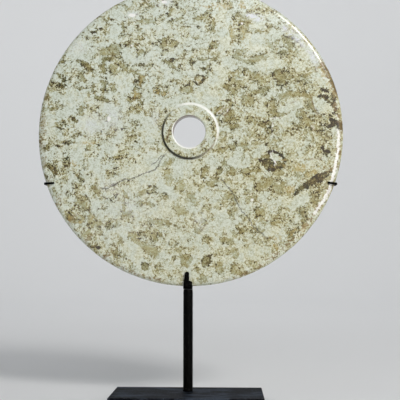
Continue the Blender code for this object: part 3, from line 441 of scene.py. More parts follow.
WHITE_CRYSTALS_AND_GLINTS = [
    (85, -23, 0.9, 4, -15), (89, -32, 0.9, 3.5, 25), (65, -71, 2, 1.6, 0), (55, 116, 1.6, 1.4, 0),
    (129, 6, 0.9, 2.2, 35), (-61, 126, 5, 2.2, 0), (-27, 140, 4, 1.6, 0), (-61, 93, 2, 1, -20),
    (-26, -38, 1.4, 0.8, 0), (84, -39, 3, 0.7, 70), (40, 24, 0.7, 3, -30), (-85, 15, 2, 3, 0),
]
# Partly brown stains, partly painted shade where the rim's outer edge is turned from the light
RIM_STAINS_AND_SHADE = [
    (143, 67, 2.2, 8, 28), (148, 56, 2.2, 8, 22), (151, 45, 2, 7, 18), (157, 5, 1.5, 8, 2),
    (155, -21, 2, 2, 0), (153, -37, 2, 2, 0), (144, -63, 2, 3, 25), (-155, 10, 3, 12, 3),
    (-156, -10, 2.5, 12, 0), (-154, -32, 3, 12, -10), (-148, -54, 2.5, 12, -18), (-139, -74, 3, 10, -27),
    (-126, -95, 2.2, 12, -37), (-109, -114, 2, 12, -45), (-89, -131, 2, 10, -54), (-153, 40, 1.5, 8, 14),
    (145, -40, 3, 2, 0), (132, -80, 1.4, 8, -30), (120, -97, 1.4, 9, -38), (103, -115, 1.4, 9, -47),
    (82, -132, 1.2, 9, -58), (56, -147, 0.9, 9, -69), (-64, -143, 1.2, 10, 65), (-36, -153, 1.4, 10, 76),
    (140, 72, 3, 7, 28), (146, 61, 3.5, 7, 22), (151, 49, 3, 6, 18), (157, 11, 2.6, 6, 3),
    (158, 5, 1.6, 6, 2), (152, 27, 3, 4, 10),
]

# The painted highlight along the rim's rounding on the right, pale and brown hairlines, then fine
# cracks: runs of points in millimetres from the disc's centre
PAINTED_RIM_HIGHLIGHT = [
    (154, 1), (155, -4), (154, -20), (151, -35), (148, -49), (145, -60), (139, -71), (133, -79), (129, -85),
]
PALE_LINES = [
    [(137, 64), (140, 58), (142, 54)], [(87, 10), (86, 4), (87, -2)], [(84, 14), (95, 15)],
    [(126, 7), (130, 2)], [(151, 19), (155, 14)], [(84, -22), (86, -28)], [(89, -30), (88, -35)],
    [(28, 20), (37, 27), (40, 24)],
]
BROWN_LINES = [
    [(127, 38), (129, 26), (132, 19), (138, 14)], [(105, 30), (114, 34)], [(120, -29), (137, -28)],
    [(-19, 9), (-22, -1), (-23, -8)], [(8, -27), (14, -24), (20, -19), (25, -13), (27, -7)],
    [(17, -7), (12, -16)], [(31, 21), (37, 17), (42, 24)],
]
CRACKS = [
    [(-23, -20), (-29, -27), (-32, -34), (-35, -38), (-41, -41), (-48, -43), (-54, -46), (-64, -50),
     (-67, -48), (-73, -52), (-78, -55), (-87, -59), (-99, -58)],
    [(-26, -22), (-32, -27), (-36, -32), (-44, -37)],
    [(31, -46), (35, -52), (41, -59), (46, -66), (50, -75), (54, -82), (60, -88), (66, -99), (70, -102),
     (82, -112)],
    [(23, 18), (29, 17), (34, 19), (37, 23), (36, 27)],
    [(-56, 86), (-56, 78), (-54, 74)],
    [(130, 27), (134, 20), (140, 16)],
]

# In millimetres: the distance past which a mark or a line no longer counts, and how far the front's
# own marks are moved out of reach on the back
OUT_OF_REACH = 12.0
BEHIND = 30.0

# In millimetres: how far from a crack its distance is kept, how far it runs on unseen past its ends,
# and over what length it fades in at its start and out at its end
CRACK_REACH = 8.0
CRACK_OVERRUN = 20.0
CRACK_FADE_IN = 6.0
CRACK_FADE_OUT = 10.0


def wave_field(points, wavelength, seed, waves=28):
    """A smooth random field: the scaled sum of cosine waves with seeded directions, lengths and phases.

    Each wave is cos(2 pi (point . direction) / length + phase). The sum over the square root of
    their number is mostly between -1.5 and 1.5.
    """
    random = np.random.default_rng(seed)
    directions = random.normal(size=(waves, points.shape[-1]))
    directions /= np.linalg.norm(directions, axis=1)[:, None]
    lengths = wavelength * random.uniform(0.7, 1.5, waves)
    phases = random.uniform(0.0, 2 * pi, waves)
    turns = points @ (2 * pi * directions / lengths[:, None]).T + phases
    return np.cos(turns).sum(axis=-1) * sqrt(1 / waves)


def make_piece(name, points, faces, material):
    """A mesh object at the origin from an array of points and a list of faces."""
    mesh = bpy.data.meshes.new(name)
    mesh.from_pydata(points.reshape(-1, 3).tolist(), [], faces)
    mesh.materials.append(material)
    mesh.shade_smooth()
    piece = bpy.data.objects.new(name, mesh)
    bpy.context.scene.collection.objects.link(piece)
    return piece


def grid_faces(rows, columns, rows_closed=False):
    """Quads of a grid of points stored row by row. Each row closes on itself.

    Closed rows join the last row to the first as well.
    """
    row = np.arange(rows if rows_closed else rows - 1)[:, None] * columns
    next_row = (row + columns) % (rows * columns)
    column = np.arange(columns)
    next_column = (column + 1) % columns
    corners = [row + column, row + next_column, next_row + next_column, next_row + column]
    return np.stack(corners, axis=-1).reshape(-1, 4)


def tube_faces(rows, columns):
    """Quads of a tube of points stored ring by ring, and a flat face across each end."""
    last = (rows - 1) * columns
    ends = [list(range(columns))[::-1], list(range(last, last + columns))]
    return grid_faces(rows, columns).tolist() + ends


def circle(sides, axis):
    """Unit vectors evenly spaced round an axis, 1 for Y and 2 for Z: cosine and sine of the turn."""
    turn = 2 * pi * np.arange(sides) / sides
    return np.insert(np.column_stack([np.cos(turn), np.sin(turn)]), axis, 0.0, axis=1)


def smooth_step(t):
    """3 t squared - 2 t cubed, with t held between 0 and 1."""
    t = np.clip(t, 0.0, 1.0)
    return t * t * (3.0 - 2.0 * t)


def arc(centre_radius, centre_depth, radius_size, depth_size, start, end, steps):
    """Points (centre + radius_size sin a, centre - depth_size cos a) for angles a from start to end."""
    angle = np.radians(np.linspace(start, end, steps))
    return np.column_stack([centre_radius + radius_size * np.sin(angle),
                            centre_depth - depth_size * np.cos(angle)])


def line(start, end, steps):
    """Evenly spaced points from one (radius, depth) to another, without the last."""
    return np.linspace(start, end, steps, endpoint=False)


def fallen(face, side):
    """A face's points, falling towards the middle plane by FACE_FALL times the square of the way
    across the fall's width. The side is -1 in front and 1 behind.
    """
    fall = FACE_FALL * np.clip((face[:, 0] - FALL_START) / FACE_FALL_WIDTH, 0.0, 1.0) ** 2
    return face - side * np.column_stack([np.zeros(len(face)), fall])


def disc_section():
    """The closed section as (radius, depth): hole wall, collar, face, rim, back.

    Depth is measured from the middle plane, negative in front. The collar's outside is a hollow
    quarter ellipse, steep at the top and level at its foot. The rim is half an ellipse.
    """
    front, back = -HALF_THICKNESS, HALF_THICKNESS
    top = front - COLLAR_HEIGHT
    inside = HOLE_RADIUS + HOLE_ROUNDING
    outside = COLLAR_TOP_RADIUS - EDGE_BREAK
    foot = COLLAR_FOOT + EDGE_BREAK
    back_edge = HOLE_RADIUS + EDGE_BREAK
    turn = COLLAR_SIDE_TURN
    return np.concatenate([
        line((HOLE_RADIUS, back - EDGE_BREAK), (HOLE_RADIUS, top + HOLE_ROUNDING), 9),
        arc(inside, top + HOLE_ROUNDING, HOLE_ROUNDING, HOLE_ROUNDING, -90, 0, 6),
        line((inside, top), (outside, top), 8)[1:],
        arc(outside, top + EDGE_BREAK, EDGE_BREAK, EDGE_BREAK, 0, turn, 5),
        arc(foot, top + EDGE_BREAK, COLLAR_TOP_RADIUS - foot, EDGE_BREAK - COLLAR_HEIGHT, turn, 0, 10),
        fallen(line((foot, front), (RIM_START, front), 80)[1:], -1.0),
        arc(RIM_START, 0.0, RIM_ROUNDING_LENGTH, HALF_THICKNESS - FACE_FALL, 0, 180, 27),
        fallen(line((RIM_START, back), (back_edge, back), 26)[1:], 1.0),
        arc(back_edge, back - EDGE_BREAK, -EDGE_BREAK, -EDGE_BREAK, 0, 90, 4)[:-1],
    ])


def disc_points(radius, depth):
    """The disc's section turned about its axis, with a hand-cut waver.

    Point = centre + radius (cos, sin) + depth along Y. The hole and collar are shifted by their
    offset, which fades out from the collar's foot to where the faces start to fall. The faces
    waver, mostly inwards, the rim is worn inwards, and the collar's outline wavers both ways.
    """
    way_out = circle(DISC_SIDES, 1)
    shift = 1.0 - smooth_step((radius - COLLAR_FOOT) / (FALL_START - COLLAR_FOOT))
    points = np.array([DISC_X, DISC_MIDDLE, DISC_Z]) + radius[:, None, None] * way_out
    points += np.column_stack([shift * HOLE_SHIFT_X, depth, shift * HOLE_SHIFT_Z])[:, None]

    waver = (wave_field(points, LONG_WAVER_LENGTH, 11) * LONG_WAVER
             + wave_field(points, SHORT_WAVER_LENGTH, 12) * SHORT_WAVER - FACE_SINK)
    side = np.where(depth < 0, -1.0, 1.0) * np.minimum(np.abs(depth) / HALF_THICKNESS, 1.0)
    points[..., 1] += side[:, None] * waver
    near_rim = smooth_step((radius - RIM_START) / RIM_ROUNDING_LENGTH)
    wear = np.abs(wave_field(points, RIM_WEAR_LENGTH, 13)) * RIM_WEAR
    points -= (near_rim[:, None] * wear)[..., None] * way_out
    on_collar = (radius > HOLE_RADIUS + HOLE_ROUNDING) & (radius <= COLLAR_FOOT) & (depth < 0)
    hand_cut = wave_field(points, COLLAR_WAVER_LENGTH, 14) * COLLAR_WAVER
    return points + (on_collar[:, None] * hand_cut)[..., None] * way_out


def inside_marks(right, up, marks):
    """How far inside the nearest ellipse of a list each point is, in mm, and that ellipse's last value.

    The distance is (1 - the ellipse's own radius ratio) times its smaller half size: negative outside.
    """
    best = np.full(right.shape, -1000.0)
    tone = np.zeros(right.shape)
    for centre_right, centre_up, half_length, half_width, turn, *value in marks:
        turn = radians(turn)
        along = cos(turn) * (right - centre_right) + sin(turn) * (up - centre_up)
        across = cos(turn) * (up - centre_up) - sin(turn) * (right - centre_right)
        inside = (1.0 - np.hypot(along / half_length, across / half_width)) * min(half_length, half_width)
        if value:
            tone = np.where(inside > best, value[0], tone)
        best = np.maximum(best, inside)
    return best, tone


def inside_streaks(right, up, streaks, best, tone):
    """The values of inside_marks, with a list of streaks laid over them.

    Inside a streak, the distance is its half width there less the distance to its middle line.
    """
    for streak_tone, points in streaks:
        for (right_a, up_a, half_a), (right_b, up_b, half_b) in zip(points, points[1:]):
            step = np.array([right_b - right_a, up_b - up_a], dtype=float)
            share = ((right - right_a) * step[0] + (up - up_a) * step[1]) / (step @ step)
            share = np.clip(share, 0.0, 1.0)
            distance = np.hypot(right - right_a - share * step[0], up - up_a - share * step[1])
            inside = half_a + (half_b - half_a) * share - distance
            tone = np.where(inside > best, streak_tone, tone)
            best = np.maximum(best, inside)
    return best, tone


def broad_amount(right, up, areas):
    """The sum over soft areas of the amount times exp(-across squared - above squared).

    across and above are the distances from the area's centre over its half width and half height.
    """
    total = np.zeros(right.shape)
    for centre_right, centre_up, half_width, half_height, amount in areas:
        across = (right - centre_right) / half_width
        above = (up - centre_up) / half_height
        total += amount * np.exp(-across ** 2 - above ** 2)
    return total


def run_distance(right, up, run, overrun=0.0):
    """Signed distance in mm from a run of points, positive on its left, how far each point lies
    along it, and the run's length. The run goes straight on past both ends by the overrun.
    """
    best = np.full(right.shape, 1000.0)
    along_best = np.zeros(right.shape)
    run_length = 0.0
    last = len(run) - 2
    for number, (start, end) in enumerate(zip(run, run[1:])):
        step = np.subtract(end, start)
        length = np.hypot(*step)
        step = step / length
        along = (right - start[0]) * step[0] + (up - start[1]) * step[1]
        side = (up - start[1]) * step[0] - (right - start[0]) * step[1]
        low = -overrun if number == 0 else 0.0
        high = length + overrun if number == last else length
        beyond = along - np.clip(along, low, high)
        distance = np.hypot(side, beyond) * np.where(side < 0.0, -1.0, 1.0)
        nearer = np.abs(distance) < np.abs(best)
        best = np.where(nearer, distance, best)
        along_best = np.where(nearer, run_length + along, along_best)
        run_length += length
    return best, along_best, run_length


def stone_values(right, up, in_front):
    """What the marble reads at each point of the disc, by attribute name, one number or three.

    Marks, pockets and broad areas are laid out on the front, and on the back turned by BACK_TURN,
    and in_front blends the two. All else is on the front alone.
    """
    behind = 1.0 - in_front
    away = BEHIND * behind
    turned = radians(BACK_TURN)
    back = (cos(turned) * right - sin(turned) * up, sin(turned) * right + cos(turned) * up)

    def both(front_value, back_value):
        """The front's values in front, and the back's behind, both held within reach."""
        front_value = np.maximum(front_value, -OUT_OF_REACH)
        back_value = np.maximum(back_value, -OUT_OF_REACH)
        return front_value * in_front + back_value * behind

    marks, tone = inside_streaks(right, up, STREAKS, *inside_marks(right, up, STONE_MARKS + COLLAR_MARKS))
    back_marks, back_tone = inside_marks(*back, STONE_MARKS)
    nothing = np.zeros(right.shape)
    patch, patch_tone = inside_streaks(right, up, PATCHES, nothing - OUT_OF_REACH, nothing)
    plain = inside_marks(right, up, PLAIN_POCKETS + [COLLAR_POCKET])[0]
    broad = both(broad_amount(right, up, BROAD_AREAS), broad_amount(*back, BROAD_AREAS))
    diagonal = (right - up) / (2 * DISC_RADIUS / MM) * in_front
    # Pale veils, and painted sheen highlights near the rim at the upper right
    veils = broad_amount(right, up, PALE_VEILS_AND_PAINTED_SHEENS) * in_front
    spots = [np.maximum(inside_marks(right, up, kind)[0], -OUT_OF_REACH) - away
             for kind in (OCHRE_SPOTS, WHITE_CRYSTALS_AND_GLINTS, RIM_STAINS_AND_SHADE)]
    # The first run is a painted highlight along the rim's rounding on the right
    lines = [np.min([np.abs(run_distance(right, up, run)[0]) for run in runs], axis=0)
             for runs in ([PAINTED_RIM_HIGHLIGHT], PALE_LINES, BROWN_LINES)]
    values = {
        "marks": both(marks, back_marks),
        "tone": both(tone, BACK_TONE * back_tone),
        "plain": both(plain, inside_marks(*back, PLAIN_POCKETS)[0]),
        "patch": patch - away,
        "patch_tone": patch_tone,
        "areas": np.column_stack([broad, diagonal, veils]),
        "spots": np.column_stack(spots),
        "lines": np.column_stack([np.minimum(distance, OUT_OF_REACH) + away for distance in lines]),
    }
    for name, cracks in (("cracks_a", CRACKS[:3]), ("cracks_b", CRACKS[3:])):
        found = [run_distance(right, up, crack, CRACK_OVERRUN) for crack in cracks]
        values[name] = np.column_stack([np.clip(distance, -CRACK_REACH, CRACK_REACH)
                                        for distance, _, _ in found])
        values[name + "_share"] = np.column_stack([
            smooth_step(along / CRACK_FADE_IN) * smooth_step((length - along) / CRACK_FADE_OUT) * in_front
            for _, along, length in found])
    return values


def make_disc(material):
    """The disc, with what the marble reads stored on its points."""
    section = disc_section()
    points = disc_points(*section.T)
    faces = grid_faces(len(section), DISC_SIDES, rows_closed=True)[:, ::-1].tolist()
    piece = make_piece("carved_marble_disc", points, faces, material)
    x, y, z = points.reshape(-1, 3).T
    in_front = smooth_step(0.5 - (y - DISC_MIDDLE) / HALF_THICKNESS)
    for name, values in stone_values((x - DISC_X) / MM, (z - DISC_Z) / MM, in_front).items():
        kind, field = ("FLOAT", "value") if values.ndim == 1 else ("FLOAT_VECTOR", "vector")
        attribute = piece.data.attributes.new(name, kind, "POINT")
        attribute.data.foreach_set(field, values.astype(np.float32).ravel())
    return piece


def make_plate(material):
    """The foot plate: a slab the size of its solid, with broken edges."""
    low, high = np.array(plate_low), np.array(plate_high)
    corners = np.array([(x, y, z) for z in (0, 1) for x, y in ((0, 0), (1, 0), (1, 1), (0, 1))])
    plate = make_piece("steel_foot_plate", low + (high - low) * corners, tube_faces(2, 4), material)
    bevel = plate.modifiers.new("broken edges", "BEVEL")
    bevel.width = PLATE_EDGE_BREAK
    bevel.segments = 3
    bevel.harden_normals = True
    return plate


def make_rod(material):
    """The round rod: a weld bead that swells at the foot, a plain bar, and a filed top end.

    The bead swells by a quarter circle over its height, times a wave field between 0.4 and 1. The
    bar narrows by ROD_TAPER times the way along its tapered end to the power 1.5, and a wave field
    wears it inwards. Its very top is broken at the edge.
    """
    foot, top = rod_low.z, rod_high.z
    taper_start = top - ROD_TAPER_LENGTH
    height = np.concatenate([np.linspace(foot, foot + ROD_WELD_HEIGHT, ROD_WELD_ROWS),
                             np.linspace(foot + 2 * ROD_WELD_HEIGHT, taper_start, ROD_BAR_ROWS),
                             taper_start + ROD_TAPER_LENGTH * np.linspace(0.1, 0.94, ROD_TAPER_ROWS)])
    taper = np.clip((height - taper_start) / ROD_TAPER_LENGTH, 0.0, 1.0) ** 1.5
    radius = ROD_RADIUS - ROD_TAPER * taper
    bead = np.sqrt(np.clip(1 - ((height - foot) / ROD_WELD_HEIGHT) ** 2, 0.0, 1.0))
    height = np.concatenate([height, [top - ROD_TOP_BREAK / 3, top]])
    radius = np.concatenate([radius, [radius[-1] - ROD_TOP_BREAK / 6, radius[-1] - ROD_TOP_BREAK]])
    bead = np.concatenate([bead, [0.0, 0.0]])[:, None]

    way_out = circle(ROD_SIDES, 2)
    axis = np.array([(rod_low.x + rod_high.x) / 2, (rod_low.y + rod_high.y) / 2, 0.0])
    points = axis + radius[:, None, None] * way_out
    points[..., 2] += height[:, None]
    swell = 0.7 + 0.3 * np.clip(wave_field(points, ROD_WELD_LUMP_LENGTH, 21), -1.0, 1.0)
    points += (bead * swell * ROD_WELD_SPREAD)[..., None] * way_out
    wear = ROD_WEAR * np.abs(wave_field(points, ROD_WEAR_LENGTH, 22)) * (1 - bead)
    points -= wear[..., None] * way_out
    return make_piece("steel_rod", points, tube_faces(len(height), ROD_SIDES), material)


def bent_path(corners, bend_radius, spacing):
    """Evenly spaced points along straight runs that meet in round bends, in a plane.

    Each bend is an arc tangent to both of its runs, worked out from the corner, the two
    directions there and the bend's radius.
    """
    corners = np.array(corners, dtype=float)
    points = [corners[:1]]
    for before, corner, after in zip(corners, corners[1:], corners[2:]):
        arrive = (corner - before) / np.linalg.norm(corner - before)
        leave = (after - corner) / np.linalg.norm(after - corner)
        turn = np.arccos(np.clip(arrive @ leave, -1.0, 1.0))
        side = leave - arrive * (arrive @ leave)
        side /= np.linalg.norm(side)
        start = corner - arrive * bend_radius * np.tan(turn / 2)
        angle = np.linspace(0.0, turn, BEND_STEPS)[:, None]
        points.append(start + bend_radius * (arrive * np.sin(angle) + side * (1.0 - np.cos(angle))))
    points = np.concatenate(points + [corners[-1:]])
    length = np.concatenate([[0.0], np.cumsum(np.linalg.norm(np.diff(points, axis=0), axis=1))])
    along = np.linspace(0.0, length[-1], int(length[-1] / spacing) + 1)
    return np.column_stack([np.interp(along, length, points[:, axis]) for axis in (0, 1)]), along


def make_strip(name, path, along, low, high, thickness, corner, axes, material):
    """A strip bent along a plane path, with rounded long edges and rounded ends.

    Each section is a rounded rectangle: low to high across the strip, and the thickness along the
    path's normal. At both ends the sections shrink by corner - sqrt(corner squared - (corner -
    distance to the end) squared), up to END_INSET, and flat faces close them. axes gives the places
    of the path's two coordinates and of the width in x, y, z.
    """
    to_end = np.minimum(along, along[-1] - along)
    inset = corner - np.sqrt(corner ** 2 - np.clip(corner - to_end, 0.0, corner) ** 2)
    inset = np.minimum(inset, END_INSET * corner)
    tangent = np.gradient(path, axis=0)
    tangent /= np.linalg.norm(tangent, axis=1)[:, None]
    normal = np.column_stack([-tangent[:, 1], tangent[:, 0]])
    angle = np.radians(np.linspace(0, 90, CORNER_STEPS))
    quarter = np.column_stack([np.cos(angle), np.sin(angle)])
    turned = np.column_stack([-quarter[:, 1], quarter[:, 0]])
    arcs = np.concatenate([quarter, turned, -quarter, -turned])
    signs = np.repeat([(1, 1), (-1, 1), (-1, -1), (1, -1)], CORNER_STEPS, axis=0)
    middle = ((low + high) / 2)[:, None]
    half_width = ((high - low) / 2 - inset - corner)[:, None]
    half_thickness = (thickness / 2 - inset - corner)[:, None]
    across = middle + signs[:, 0] * half_width + corner * arcs[:, 0]
    out = signs[:, 1] * half_thickness + corner * arcs[:, 1]
    flat = path[:, None, :] + out[..., None] * normal[:, None, :]
    points = np.empty(across.shape + (3,))
    points[..., axes[0]] = flat[..., 0]
    points[..., axes[1]] = flat[..., 1]
    points[..., axes[2]] = across
    faces = tube_faces(len(path), len(arcs))
    if axes == (0, 1, 2):
        faces = [face[::-1] for face in faces]
    strip = make_piece(name, points, faces, material)
    strip.data.set_sharp_from_angle(angle=radians(40))
    return strip


def make_strap(material):
    """The cradle strap: down the front of the rim as a narrow finger and a lip, under it, up behind.

    Left and right edges are functions of height on the front leg: the finger leans, its point is
    nipped in, and a smooth step widens it to the lip.
    """
    middle = HALF_THICKNESS + CLEARANCE + STRAP_THICKNESS / 2
    front, back = DISC_MIDDLE - middle, DISC_MIDDLE + middle
    floor = RIM_BOTTOM - CLEARANCE - STRAP_THICKNESS / 2
    finger_top = RIM_BOTTOM + FINGER_TOP
    point_start = finger_top - FINGER_POINT_LENGTH
    path, along = bent_path([(front, finger_top), (front, floor), (back, floor), (back, strap_high.z)],
                            STRAP_BEND_RADIUS + STRAP_THICKNESS / 2, STRAP_SPACING)
    height = path[:, 1]
    on_finger = path[:, 0] < DISC_MIDDLE
    lean = FINGER_LEAN * np.clip((height - RIM_BOTTOM) / FINGER_TOP, 0.0, 1.0)
    cut = SHOULDER_CUT * smooth_step((height - RIM_BOTTOM - LIP_HEIGHT) / SHOULDER_HEIGHT)
    nip = FINGER_POINT_NIP * smooth_step((height - point_start) / FINGER_POINT_LENGTH)
    uneven = FINGER_WAVER * np.abs(wave_field(path, FINGER_WAVER_LENGTH, 23))
    low = strap_low.x + np.where(on_finger, lean + nip + uneven, 0.0)
    high = strap_high.x - np.where(on_finger, cut + nip + uneven[::-1], 0.0)
    thickness = np.full(len(path), STRAP_THICKNESS)
    return make_strip("steel_cradle_strap", path, along, low, high, thickness, STRAP_CORNER, (1, 2, 0),
                      material)


def make_arm(material):
    """The cross arm: a bar behind the spine, drawn down at both ends to hooks round the rim.

    The middle line is a plane path seen from above. Height and thickness go from the bar's to the
    hook's over the taper, and each hook rises towards its tip.
    """
    rim_drop = ARM_DROP - ARM_HOOK_HEIGHT / 2 - ARM_TILT * DISC_RADIUS
    rim_reach = sqrt(DISC_RADIUS ** 2 - rim_drop ** 2)
    half_hook = ARM_HOOK_THICKNESS / 2
    front = arm_low.y + half_hook
    bar = arm_high.y - ARM_BAR_THICKNESS / 2
    outside_left = arm_low.x + half_hook
    outside_right = arm_high.x - half_hook
    tip_left = DISC_X - rim_reach + HOOK_REACH_LEFT
    tip_right = DISC_X + rim_reach - HOOK_REACH_RIGHT
    path, along = bent_path([(tip_left, front), (outside_left, front), (outside_left, bar),
                             (outside_right, bar), (outside_right, front), (tip_right, front)],
                            ARM_BEND_RADIUS, ARM_SPACING)
    x, y = path.T
    left = x < DISC_X
    from_outside = np.where(left, x - outside_left, outside_right - x)
    bar_share = smooth_step((from_outside - ARM_BEND_RADIUS) / ARM_TAPER_LENGTH)
    bar_share = np.where(y > bar - CLEARANCE, bar_share, 0.0)
    height = ARM_HOOK_HEIGHT + (ARM_BAR_HEIGHT - ARM_HOOK_HEIGHT) * bar_share
    thickness = ARM_HOOK_THICKNESS + (ARM_BAR_THICKNESS - ARM_HOOK_THICKNESS) * bar_share
    hook_length = np.where(left, tip_left - outside_left, outside_right - tip_right)
    rise = np.where(left, HOOK_RISE_LEFT, HOOK_RISE_RIGHT)
    on_hook = y < FRONT_FACE + FACE_FALL
    level = DISC_Z - ARM_DROP - ARM_TILT * (x - DISC_X)
    level += np.where(on_hook, rise * np.clip(from_outside / hook_length, 0.0, 1.0), 0.0)
    return make_strip("steel_cross_arm", path, along, level - height / 2, level + height / 2, thickness,
                      ARM_CORNER, (0, 1, 2), material)


def shown(red, green, blue):
    """Linear colour of a colour given as it shows on a screen, 0 to 255 each."""
    values = np.array([red, green, blue]) / 255.0
    linear = np.where(values <= 0.04045, values / 12.92, ((values + 0.055) / 1.055) ** 2.4)
    return (*linear.tolist(), 1.0)


class Nodes:
    """Adds nodes to one node tree and joins them. Each method gives back the new node's output."""

    def __init__(self, tree):
        self.tree = tree

    def node(self, kind, **settings):
        """A new node with its settings, itself and not its output."""
        node = self.tree.nodes.new("ShaderNode" + kind)
        for name, value in settings.items():
            setattr(node, name, value)
        return node

    def feed(self, socket, value):
        """Join a socket to an output, or set it to a constant."""
        if isinstance(value, bpy.types.NodeSocket):
            self.tree.links.new(value, socket)
        else:
            socket.default_value = value

    def maths(self, operation, *values, clamp=False):
        """One operation on one value, two or three."""
        node = self.node("Math", operation=operation, use_clamp=clamp)
        for socket, value in zip(node.inputs, values):
            self.feed(socket, value)
        return node.outputs[0]

    def times(self, first, *others):
        """The product of all the values."""
        for value in others:
            first = self.maths("MULTIPLY", first, value)
        return first

    def most(self, first, *others):
        """The greatest of all the values."""
        for value in others:
            first = self.maths("MAXIMUM", first, value)
        return first

    def total(self, start, *parts):
        """The start, plus each value times its weight."""
        for value, weight in parts:
            start = self.maths("MULTIPLY_ADD", value, weight, start)
        return start

    def remap(self, value, from_low, from_high, to_low=0.0, to_high=1.0, smooth=True):
        """The value taken from one range to another and held there, by a smooth step or a straight line."""
        node = self.node("MapRange", interpolation_type="SMOOTHSTEP" if smooth else "LINEAR")
        for socket, number in zip(node.inputs, (value, from_low, from_high, to_low, to_high)):
            self.feed(socket, number)
        return node.outputs["Result"]

    def band(self, value, starts, full, fades, ends):
        """1 from full to fades, and 0 below starts and above ends."""
        return self.times(self.remap(value, starts, full), self.remap(value, ends, fades))

    def vectors(self, operation, *values, scale=None):
        """One operation on vectors, or on a vector and a scale."""
        node = self.node("VectorMath", operation=operation)
        for socket, value in zip(node.inputs, values):
            self.feed(socket, value)
        if scale is not None:
            self.feed(node.inputs["Scale"], scale)
        return node.outputs["Value" if operation in ("LENGTH", "DOT_PRODUCT") else "Vector"]

    def split(self, vector):
        """A vector's three parts."""
        node = self.node("SeparateXYZ")
        self.feed(node.inputs[0], vector)
        return tuple(node.outputs)

    def stored(self, name):
        """One number stored on the mesh."""
        return self.node("Attribute", attribute_name=name).outputs["Fac"]

    def stored_three(self, name):
        """Three numbers stored on the mesh under one name."""
        return self.split(self.node("Attribute", attribute_name=name).outputs["Vector"])

    def place(self):
        """The place on the piece, in millimetres."""
        return self.vectors("SCALE", self.node("TexCoord").outputs["Object"], scale=1.0 / MM)

    def noise(self, where, size, detail=2.0, roughness=0.5, output="Fac"):
        """Noise with features of about the given size, in the units of where."""
        node = self.node("TexNoise")
        self.feed(node.inputs["Vector"], where)
        for name, value in (("Scale", 1.0 / size), ("Detail", detail), ("Roughness", roughness)):
            node.inputs[name].default_value = value
        return node.outputs[output]

    def field(self, where, size, detail=2.0, roughness=0.55):
        """Noise scaled to about -1 to 1 for most of the surface."""
        return self.maths("MULTIPLY_ADD", self.noise(where, size, detail, roughness), 8.0, -4.0)

    def scatter(self, where, place, size, amount):
        """where moved by up to about half the amount each way, by the noise of a size at the place."""
        offset = self.vectors("SUBTRACT", self.noise(place, size, 1.0, output="Color"), (0.5, 0.5, 0.5))
        return self.vectors("ADD", where, self.vectors("SCALE", offset, scale=amount))

    def mix(self, share, below, above):
        """The colour below where share is 0, and the colour above where it is 1."""
        node = self.node("Mix", data_type="RGBA")
        self.feed(node.inputs["Factor"], share)
        self.feed(node.inputs[6], below)
        self.feed(node.inputs[7], above)
        return node.outputs[2]

    def lay(self, colour, share, strength, above):
        """A colour given as it shows, laid over another where the share is 1, at the strength."""
        return self.mix(self.times(share, strength), colour, shown(*above))

    def ramp(self, value, places, colours):
        """A colour ramp through colours given as they show, at their places."""
        node = self.node("ValToRGB")
        elements = node.color_ramp.elements
        while len(elements) < len(places):
            elements.new(1.0)
        for element, place, colour in zip(elements, places, colours):
            element.position = place
            element.color = shown(*colour)
        self.feed(node.inputs["Fac"], value)
        return node.outputs["Color"]

    def bump(self, shader, height, strength, distance):
        """A bump on the shader's surface, where a height of 1 stands for the distance."""
        node = self.node("Bump")
        node.inputs["Strength"].default_value = strength
        node.inputs["Distance"].default_value = distance
        self.feed(node.inputs["Height"], height)
        self.feed(shader.inputs["Normal"], node.outputs["Normal"])


def new_material(name):
    """A material, what adds nodes to it, and its Principled shader."""
    material = bpy.data.materials.new(name)
    material.use_nodes = True
    return material, Nodes(material.node_tree), material.node_tree.nodes["Principled BSDF"]


# The stone's colours as they show, from palest to darkest, with the places of the stops
TONE_STOPS = (0.0, 0.15, 0.30, 0.42, 0.54, 0.66, 0.78, 0.90, 1.0)
COOL_TONES = (
    (213, 218, 202), (206, 211, 194), (195, 200, 178), (181, 184, 157), (167, 168, 134), (151, 149, 109),
    (130, 125, 78), (92, 84, 38), (48, 42, 18),
)
WARM_TONES = (
    (222, 223, 203), (213, 215, 190), (200, 200, 171), (187, 185, 149), (173, 169, 126), (159, 151, 101),
    (140, 127, 72), (100, 83, 34), (56, 43, 16),
)

# The slight tint that is laid over them, bluish towards the upper left, reddish towards the lower right
UPPER_LEFT_TINT = (0.97, 1.0, 1.075, 1.0)
LOWER_RIGHT_TINT = (1.022, 0.995, 0.982, 1.0)

# What lies over the stone: how much each covers at most, and its colour as it shows
# Pale bluish veils, and painted sheen highlights near the rim at the upper right
VEIL_AND_PAINTED_SHEEN = (0.80, (224, 226, 234))
OCHRE = (0.50, (182, 160, 94))
# Brown rim stains, partly painted shade on the rim's outer edge
RIM_BROWN = (1.00, (130, 107, 66))
BROWN_LINE = (0.60, (128, 104, 68))
# White crystals, painted glints, and the painted highlight along the rim
WHITE = (0.85, (243, 241, 237))
CRACK_DIRT = (1.00, (84, 80, 68))
# Painted highlight on the collar's foot and the hole's edge, on the sides that face the light
PAINTED_EDGE_HIGHLIGHT = (0.80, (250, 250, 246))
# Painted shade: near-black on the collar's outer wall, low on the left, where it is turned from the light
CORNER_PAINTED_SHADE = (0.93, (44, 38, 26))
# Brownish painted shade on the hole's wall, high on the left, where it is turned from the light
HOLE_PAINTED_SHADE = (0.85, (104, 76, 58))

# The sides of the collar and the hole that the painted shade and the painted highlights lie on, as seen from
# the front
LOW_LEFT = (-0.77, 0.0, -0.64)
HIGH_RIGHT = (0.66, 0.0, 0.75)
HIGH_LEFT = (-0.60, 0.0, 0.80)


